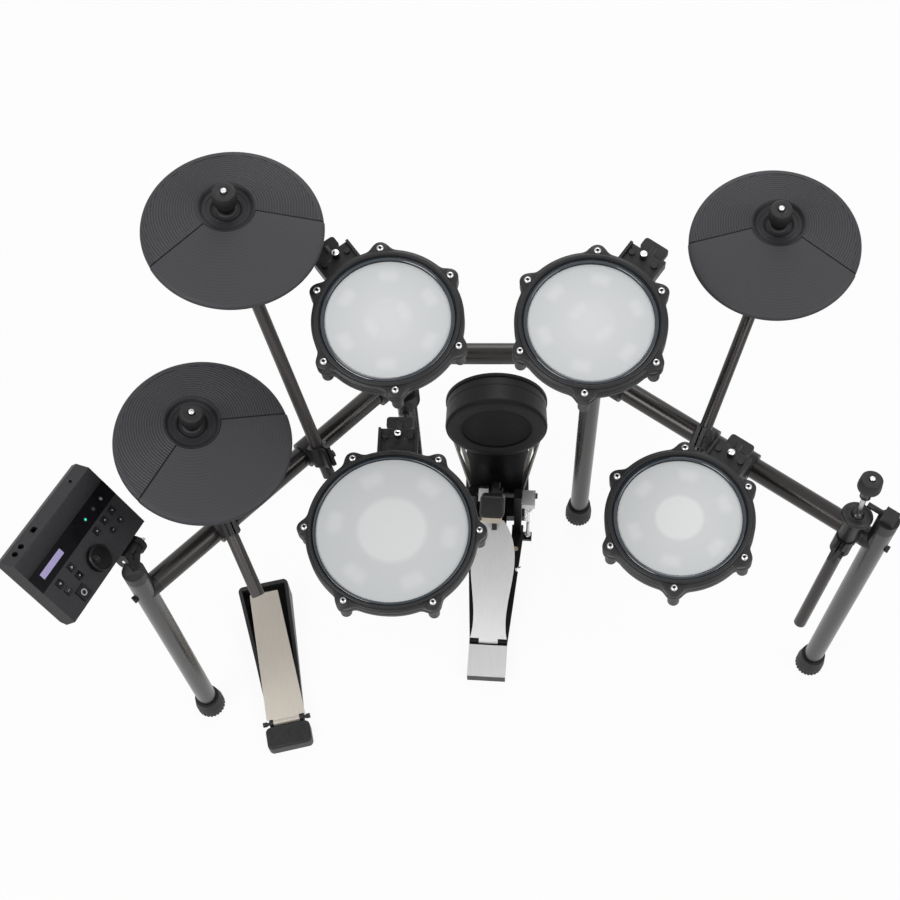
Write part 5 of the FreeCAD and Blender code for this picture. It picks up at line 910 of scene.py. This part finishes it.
def zone_mesh():
    """The playing zone: a smoother wedge laid in the bow's seat and over its edge."""
    bm = bmesh.new()
    columns = 72
    steps = 130
    profile = []
    for step in range(steps + 1):
        share = step / steps * BOW_END_SHARE
        profile.append((BELL_RADIUS + ZONE_START * (1 - share), share, BELL_RIM_UP - CYMBAL_RISE * share))
    edge = BELL_RIM_UP - CYMBAL_RISE
    for out, down in ((2.8, -0.4), (5.0, -1.2), (6.8, -2.7), (7.8, -4.6), (7.8, -6.4)):
        profile.append((BELL_RADIUS + out * MM, 1, edge + down * MM))
    rows = []
    for base, share, height in profile:
        room = ZONE_HALF - ZONE_GAP / cymbal_spot(base, share, ZONE_HALF)
        fade = ZONE_FADE_SHARE * (1 - share) ** ZONE_FADE_POWER
        row = []
        for column in range(columns + 1):
            angle = -room + 2 * room * column / columns
            radius = cymbal_spot(base, share, angle)
            up = height + ZONE_PROUD - groove(radius, ZONE_PITCH) * fade
            row.append(bm.verts.new((radius * math.cos(angle), radius * math.sin(angle), up)))
        rows.append(row)
    for one, two in zip(rows, rows[1:]):
        for column in range(columns):
            bm.faces.new((one[column], two[column], two[column + 1], one[column + 1]))
    bmesh.ops.recalc_face_normals(bm, faces=bm.faces)
    bmesh.ops.solidify(bm, geom=list(bm.faces), thickness=ZONE_THICK)
    return bm


def cymbal_pad(cymbal):
    """One cymbal pad about its rocking centre, its playing zone turned to the player."""
    normal = lean_normal(*CYMBAL_LEANS[cymbal])
    turn = math.radians(ZONE_TURN[cymbal]) - TURN / 4
    matrix = axes_matrix(JOINT_PLACES[cymbal + "_rock"], normal, aim_at(turn))
    node = cymbal + "_cymbal"
    body = BODY_OF[node]
    # The bow's second finish, the near-black tower paint, is painted shade in the gap round the zone.
    add_piece(cymbal + "_bow", cymbal_mesh(), [CYMBAL_RUBBER, TOWER], body, matrix, (node,))
    add_piece(cymbal + "_zone", zone_mesh(), ZONE_RUBBER, body, matrix)
    radius, thick, up = SEAT_RING
    ring = lathe(oval(radius, up, thick, thick, 16), 72)
    add_piece(cymbal + "_seat_ring", ring, TOWER, body, matrix)


# Cymbal posts

def fluted(outline, low, high):
    """An outline turned about z whose sides between two heights carry upright flutes."""

    def section(angle):
        dip = FLUTE_DEPTH * (0.5 - 0.5 * math.cos(FLUTES * angle))
        return [(radius - dip if low <= height <= high else radius, height) for radius, height in outline]

    return turned(FLUTED_STEPS, section)


def nut_mesh(base):
    """The sleeve nut: a ringed neck under a fluted cap, from a base height up."""
    outline = [
        (4.3, 0), (11.8, 0), (12.8, 0.8), (12.8, 3.6), (12.2, 4.2), (12.2, 5.4), (12.8, 6.0), (12.8, 8.8),
        (12.2, 9.4), (12.2, 10.8), (12.8, 11.4), (12.8, 14.4), (13.6, 15.4), (16.6, 16.2), (17.4, 17.2),
        (17.4, 25.6), (17.1, 26.4), (16.0, 37.6), (15.2, 38.8), (14.2, 39.2), (6.0, 38.8), (4.8, 38.0),
        (4.6, 36.0),
    ]
    return fluted(in_mm(outline, base), base + 17 * MM, base + 26 * MM)


def tip_mesh(top):
    """The bright domed end of a post."""
    return lathe(in_mm([(0, -6.0), (4.1, -6.0), (4.1, 1.8), (3.3, 2.9), (1.7, 3.5), (0, 3.7)], top), 24)


def post_finish(cymbals, node):
    """The posts under the cymbals: steel rods, black tilters, felts and detailed nuts."""
    places = [(JOINT_PLACES[cymbal + "_rock"], lean_normal(*CYMBAL_LEANS[cymbal])) for cymbal in cymbals]

    def choose(low, high):
        middle = (low + high) / 2
        centre, normal = min(places, key=lambda place: (place[0] - middle).length)
        rise = (middle - centre).dot(normal)
        nut = rise > 24 * MM
        felt = abs(rise) < 8 * MM
        rod = rise > -40 * MM
        if nut:
            return None
        if felt:
            return 2
        return 0 if rod else 1

    dress(node, [STEEL, PLASTIC, RUBBER], choose)
    for cymbal, (centre, normal) in zip(cymbals, places):
        matrix = axes_matrix(centre, normal, Vector((1, 0, 0)))
        nut = nut_mesh(NUT_LOW)
        for face in nut.faces:
            if face.calc_center_median().z < NUT_LOW + NUT_NECK:
                face.material_index = 1
        add_piece(cymbal + "_nut", nut, [NUT_RUBBER, KICK_DISC], BODY_OF[node], matrix)
        add_piece(cymbal + "_post_tip", tip_mesh(NUT_LOW + NUT_HIGH), CHROME, BODY_OF[node], matrix)


def spare_post():
    """The empty post: its rod and ball, a sleeve, the fluted knob and the bright tip."""
    matrix = axes_matrix(JOINT_PLACES["spare_tilt"], lean_normal(*SPARE_LEANS), Vector((1, 0, 0)))
    body = BODY_OF["spare_post"]
    rod_top = SPARE_TOP - SPARE_ROD_DOWN
    rod = lathe([(0, 0), (SPARE_ROD, 0), (SPARE_ROD, rod_top), (0, rod_top)], 32)
    add_piece("spare_rod", rod, STEEL, body, matrix, ("spare_post",))
    arc = [math.pi * step / 24 - math.pi / 2 for step in range(25)]
    ball = lathe([(math.cos(angle) * SPARE_BALL, math.sin(angle) * SPARE_BALL) for angle in arc], 48)
    add_piece("spare_ball", ball, BALL, body, matrix)
    high = SPARE_TOP - SPARE_KNOB
    low = high - SPARE_SLEEVE
    inner = 4.1 * MM
    outer = 8.5 * MM
    section = [(inner, low), (7.6 * MM, low), (outer, low + 1.4 * MM), (outer, high), (inner, high)]
    sleeve = lathe(section, 48)
    add_piece("spare_sleeve", sleeve, PAINT, body, matrix)
    outline = [
        (4.3, 0), (14.8, 0), (16.8, 0.8), (17.5, 1.8), (17.5, 9.6), (17.2, 10.4), (16.2, 20.4), (15.4, 21.5),
        (14.5, 21.8), (6.0, 21.3), (4.6, 20.6), (4.3, 19.0),
    ]
    knob = fluted(in_mm(outline, high), high + 1.5 * MM, high + 10 * MM)
    add_piece("spare_knob", knob, NUT_RUBBER, body, matrix)
    add_piece("spare_tip", tip_mesh(SPARE_TOP), CHROME, body, matrix)


# Kick pad and pedal

def kick_pad():
    """The round kick pad: lipped back, seamed side, rounded face and a sunk striking disc."""
    normal = Vector((0, -1, math.tan(math.radians(KICK_LEAN))))
    matrix = axes_matrix(Vector(KICK_FACE), normal, Vector((1, 0, 0)))
    body = BODY_OF["kick_pad"]
    outline = [
        (0, -62), (90.6, -62), (91.4, -61.2), (91.5, -56.5), (90.8, -55.2), (88.9, -54.6), (88.9, -52.8),
        (89.6, -52.0), (89.8, -39.4), (89.2, -38.8), (89.2, -38.0), (89.9, -37.4), (90.3, -24), (90.9, -10),
        (91.2, -7.2), (90.6, -4.0), (88.8, -1.6), (85.8, -0.3), (81.0, 0.0), (66.0, -0.5), (63.2, -0.9),
        (62.2, -1.8), (61.7, -4.0), (60.6, -4.5), (40.0, -4.3), (0, -4.1),
    ]
    shell = lathe(in_mm(outline), 128)
    for face in shell.faces:
        reach = max(vertex.co.xy.length for vertex in face.verts)
        if reach < KICK_DISC_REACH and face.calc_center_median().z > -10 * MM:
            face.material_index = 1
    add_piece("kick_pad_shell", shell, [KICK_RUBBER, KICK_DISC], body, matrix, ("kick_pad",))


def pedal_bits():
    """The rubber dot and the small wing screw on the pedal's plate."""
    dot = lathe(in_mm([(0, 0), (4.6, 0), (4.6, 0.8), (3.8, 1.8), (2.0, 2.3), (0, 2.4)]), 32)
    place = Matrix.Translation((*RUBBER_DOT, PLATE_TOP))
    add_piece("pedal_rubber_dot", dot, TAN, BODY_OF["pedal_base"], place)
    screw = lathe(in_mm([(0, 0), (4.2, 0), (4.2, 1.6), (2.7, 2.4), (2.7, 6.6), (2.1, 7.2), (0, 7.4)]), 28)
    wing = plate(rounded_rectangle(*WING_SIZE, 1.1 * MM), WING_HEIGHT)
    for vertex in wing.verts:
        vertex.co.z += WING_UP
    copy_into(screw, wing)
    place = Matrix.Translation((*WING_SCREW, PLATE_TOP)) @ Matrix.Rotation(WING_TURN, 4, "Z")
    add_piece("pedal_wing_screw", screw, CHROME, BODY_OF["pedal_base"], place)


# Module

def module_matrix():
    """The module's face frame: x along the long edge, y to the back, z out of the face."""
    out = Vector(JOINTS["dial_turn"]["axis"])
    along = Vector(JOINTS["module_tilt"]["axis"])
    matrix = axes_matrix(JOINT_PLACES["dial_turn"], out, along)
    return matrix @ Matrix.Translation(-face_spot(*DIAL_SHARES))


def face_spot(along_share, down_share):
    """A place on the module's face from shares of its length and width."""
    return Vector(((along_share - 0.5) * MODULE_LENGTH, (0.5 - down_share) * MODULE_WIDTH, 0))


def plate(outline, thick):
    """A thin flat plate from an outline of x and y pairs."""
    bm = bmesh.new()
    face = bm.faces.new([bm.verts.new((x, y, 0)) for x, y in outline])
    made = bmesh.ops.extrude_face_region(bm, geom=[face])
    for item in made["geom"]:
        if isinstance(item, bmesh.types.BMVert):
            item.co.z += thick
    return bm


def rounded_rectangle(width, height, corner):
    """A rectangle's outline with round corners."""
    half_x, half_y = width / 2, height / 2
    return rounded([(half_x, half_y), (-half_x, half_y), (-half_x, -half_y), (half_x, -half_y)], corner, 4)


def round_outline(radius, steps=28):
    """A circle's outline."""
    return [(radius * math.cos(TURN * i / steps), radius * math.sin(TURN * i / steps)) for i in range(steps)]


def on_face(name, bm, material, shares, lift=FACE_LIFT, body="module"):
    """A thin mark or lens on the module's face, raised by a small lift."""
    matrix = module_matrix() @ Matrix.Translation(face_spot(*shares) + UP * lift)
    add_piece(name, bm, material, body, matrix)


def dial():
    """The turned dial with a finger dimple."""
    outline = [(17.4 * step / 40, 8.6) for step in range(40)]
    outline.extend([(17.4, 8.8), (18.6, 8.5), (19.4, 7.6), (19.8, 6.2), (20.0, 1.0), (19.6, 0.5), (0, 0.5)])
    bm = lathe(in_mm(outline), 120)
    spot = Vector((-0.9, 0.45, 0)) * DIAL_DIMPLE_OUT
    for vertex in bm.verts:
        if vertex.co.z > 7 * MM:
            away = (vertex.co - spot - UP * vertex.co.z).length / DIAL_DIMPLE
            if away < 1:
                vertex.co.z -= DIAL_DIMPLE_DEEP * (1 - away * away) ** 1.5
    matrix = module_matrix() @ Matrix.Translation(face_spot(*DIAL_SHARES))
    add_piece("module_dial_turned", bm, DIAL, BODY_OF["module_dial"], matrix, ("module_dial",))


def module_face():
    """The display, and the lamps with their rings, on the module's face."""
    screen = plate(rounded_rectangle(*DISPLAY_SIZE, 0.6 * MM), MARK_THICK)
    on_face("module_display", screen, DISPLAY, DISPLAY_SHARES)
    for index, along in enumerate(LAMP_ALONG_SHARES):
        shares = (along, LAMP_DOWN_SHARE)
        on_face("module_lamp_%d" % index, plate(round_outline(3.6 * MM), MARK_THICK), LAMP_RING, shares)
        lens = (LAMP_GREEN, LAMP_DIM, LAMP_PALE)[index]
        inner = 0 if index == 0 else 1.0
        rim = lathe(in_mm([(inner, 0), (1.7, 0), (1.7, 0.35), (inner, 0.35)]), 32)
        on_face("module_lamp_lens_%d" % index, rim, lens, shares)


def on_key(node, mark):
    """A mark on a key, moving with it."""
    on_face(node + "_mark", mark, WHITE_PRINT_GLOW, KEY_SHARES[node], KEY_RISE, BODY_OF[node])


def key_marks():
    """Plain marks on the keys: arrows, dots, bars and a cross, and a ring on the large key, all with a faint
    painted glow.
    """
    arrow = [(2.4, 0), (-1.5, 2.1), (-1.5, -2.1)]
    dot = round_outline(1.2, 16)
    bar = [(1.9, 0.4), (-1.9, 0.4), (-1.9, -0.4), (1.9, -0.4)]
    upright = [(-y, x) for x, y in bar]
    back = [(-x, y) for x, y in reversed(arrow)]
    marks = {
        "module_left_button": [back],
        "module_right_button": [arrow],
        "module_back_button": [bar],
        "module_enter_button": [dot],
        "module_pad_button_a": [dot],
        "module_pad_button_b": [dot],
        "module_pad_button_c": [dot],
        "module_volume_button_down": [bar],
        "module_volume_button_up": [bar, upright],
    }
    for node, outlines in marks.items():
        mark = bmesh.new()
        for outline in outlines:
            copy_into(mark, plate(in_mm(outline), MARK_THICK))
        on_key(node, mark)
    on_key("module_kit_button", lathe(in_mm([(3.2, 0), (5.0, 0), (5.0, 0.2), (3.2, 0.2)]), 48))


def jack(index, kind, along):
    """A socket in the module's back slope: a raised lip and a dark lining."""
    width, height = JACK_SIZES[kind]
    bm = bmesh.new()
    rings = []
    for grow, up in ((-0.1, -JACK_DEEP / MM), (-0.1, 0.3), (0.9, 0.5), (1.5, 0.2), (1.5, -0.2)):
        wide, high = width + 2 * grow * MM, height + 2 * grow * MM
        outline = rounded_rectangle(wide, high, 0.8 * MM) if kind == "square" else round_outline(wide / 2)
        rings.append([bm.verts.new((x, y, up * MM)) for x, y in outline])
    for one, two in zip(rings, rings[1:]):
        for step in range(len(one)):
            following = (step + 1) % len(one)
            bm.faces.new((one[step], one[following], two[following], two[step]))
    spot = face_spot(along, 0) + Vector((0, SLOPE_DEEP / 2, -SLOPE_DROP / 2))
    slope = Matrix.Rotation(-math.atan2(SLOPE_DROP, SLOPE_DEEP), 4, "X")
    place = module_matrix() @ Matrix.Translation(spot) @ slope
    add_piece("module_jack_%d" % index, bm, BOLT, "module", place)


paint_cad()
pedal_bits()
key_marks()
for jack_index, (jack_kind, jack_along) in enumerate(JACK_SHARES):
    jack(jack_index, jack_kind, jack_along)
post_finish(["crash", "hihat"], "left_posts")
post_finish(["ride"], "ride_post")
spare_post()
kick_pad()
dial()
module_face()
for pad_name in PAD_LEANS:
    drum_pad(pad_name, "snare" if pad_name == "snare" else "tom")
for cymbal_name in CYMBAL_LEANS:
    cymbal_pad(cymbal_name)


# Stage

def white_to_eyes(tree, lit, white, share, output):
    """Shows white to the camera, mirrors and glass by a share, and the lit shader to all other light."""
    rays = add_node(tree, "LightPath").outputs
    seen = math_node(tree, "MAXIMUM", rays["Is Camera Ray"], rays["Is Glossy Ray"])
    seen = math_node(tree, "MAXIMUM", seen, rays["Is Transmission Ray"])
    mix = add_node(tree, "MixShader")
    parts = (math_node(tree, "MULTIPLY", seen, share), lit.outputs[0], white.outputs[0])
    for socket, part in zip(mix.inputs, parts):
        feed(tree, socket, part)
    tree.links.new(mix.outputs[0], output.inputs["Surface"])


def pale_floor():
    """A pale floor that keeps the shadow."""
    reach = FLOOR_REACH
    corners = [(-reach, -reach, 0), (reach, -reach, 0), (reach, reach, 0), (-reach, reach, 0)]
    floor_mesh = bpy.data.meshes.new("floor")
    floor_mesh.from_pydata(corners, [], [(0, 1, 2, 3)])
    floor = add_object("floor", floor_mesh)
    floor.location.z = -FLOOR_DROP
    material = bpy.data.materials.new("pale_floor")
    material.use_nodes = True
    tree = material.node_tree
    tree.nodes.clear()
    output = add_node(tree, "OutputMaterial")
    lit = add_node(tree, "BsdfDiffuse", Color=(0.86, 0.86, 0.86, 1))
    white_to_eyes(tree, lit, add_node(tree, "Emission", Strength=1.0), FLOOR_WHITE_SHARE, output)
    floor_mesh.materials.append(material)


def surround():
    """A soft sky that looks white."""
    world = bpy.data.worlds.new("studio")
    bpy.context.scene.world = world
    world.use_nodes = True
    tree = world.node_tree
    tree.nodes.clear()
    output = add_node(tree, "OutputWorld")
    lit = add_node(tree, "Background", Color=(0.95, 0.97, 1.0, 1), Strength=SURROUND_LIGHT)
    white = add_node(tree, "Background", Color=(1, 1, 1, 1), Strength=1.0)
    white_to_eyes(tree, lit, white, 1.0, output)


def soft_lamps():
    for name, place, size, power in LAMPS:
        lamp = bpy.data.lights.new(name, "AREA")
        lamp.shape = "DISK"
        lamp.size = size
        lamp.energy = power
        holder = add_object(name, lamp)
        holder.location = place
        aim = LAMP_AIM - Vector(place)
        holder.rotation_euler = aim.to_track_quat("-Z", "Y").to_euler()


def photo_camera():
    """The camera, placed as the photograph's."""
    lens = bpy.data.cameras.new("camera")
    lens.lens = CAMERA_LENS
    lens.sensor_width = SENSOR
    lens.shift_x = CAMERA_SHIFT
    camera = add_object("camera", lens)
    camera.location = CAMERA_PLACE
    camera.rotation_euler = (math.radians(CAMERA_TILT), 0, 0)
    bpy.context.scene.camera = camera
    bpy.context.scene.view_settings.view_transform = "Standard"


pale_floor()
surround()
soft_lamps()
photo_camera()
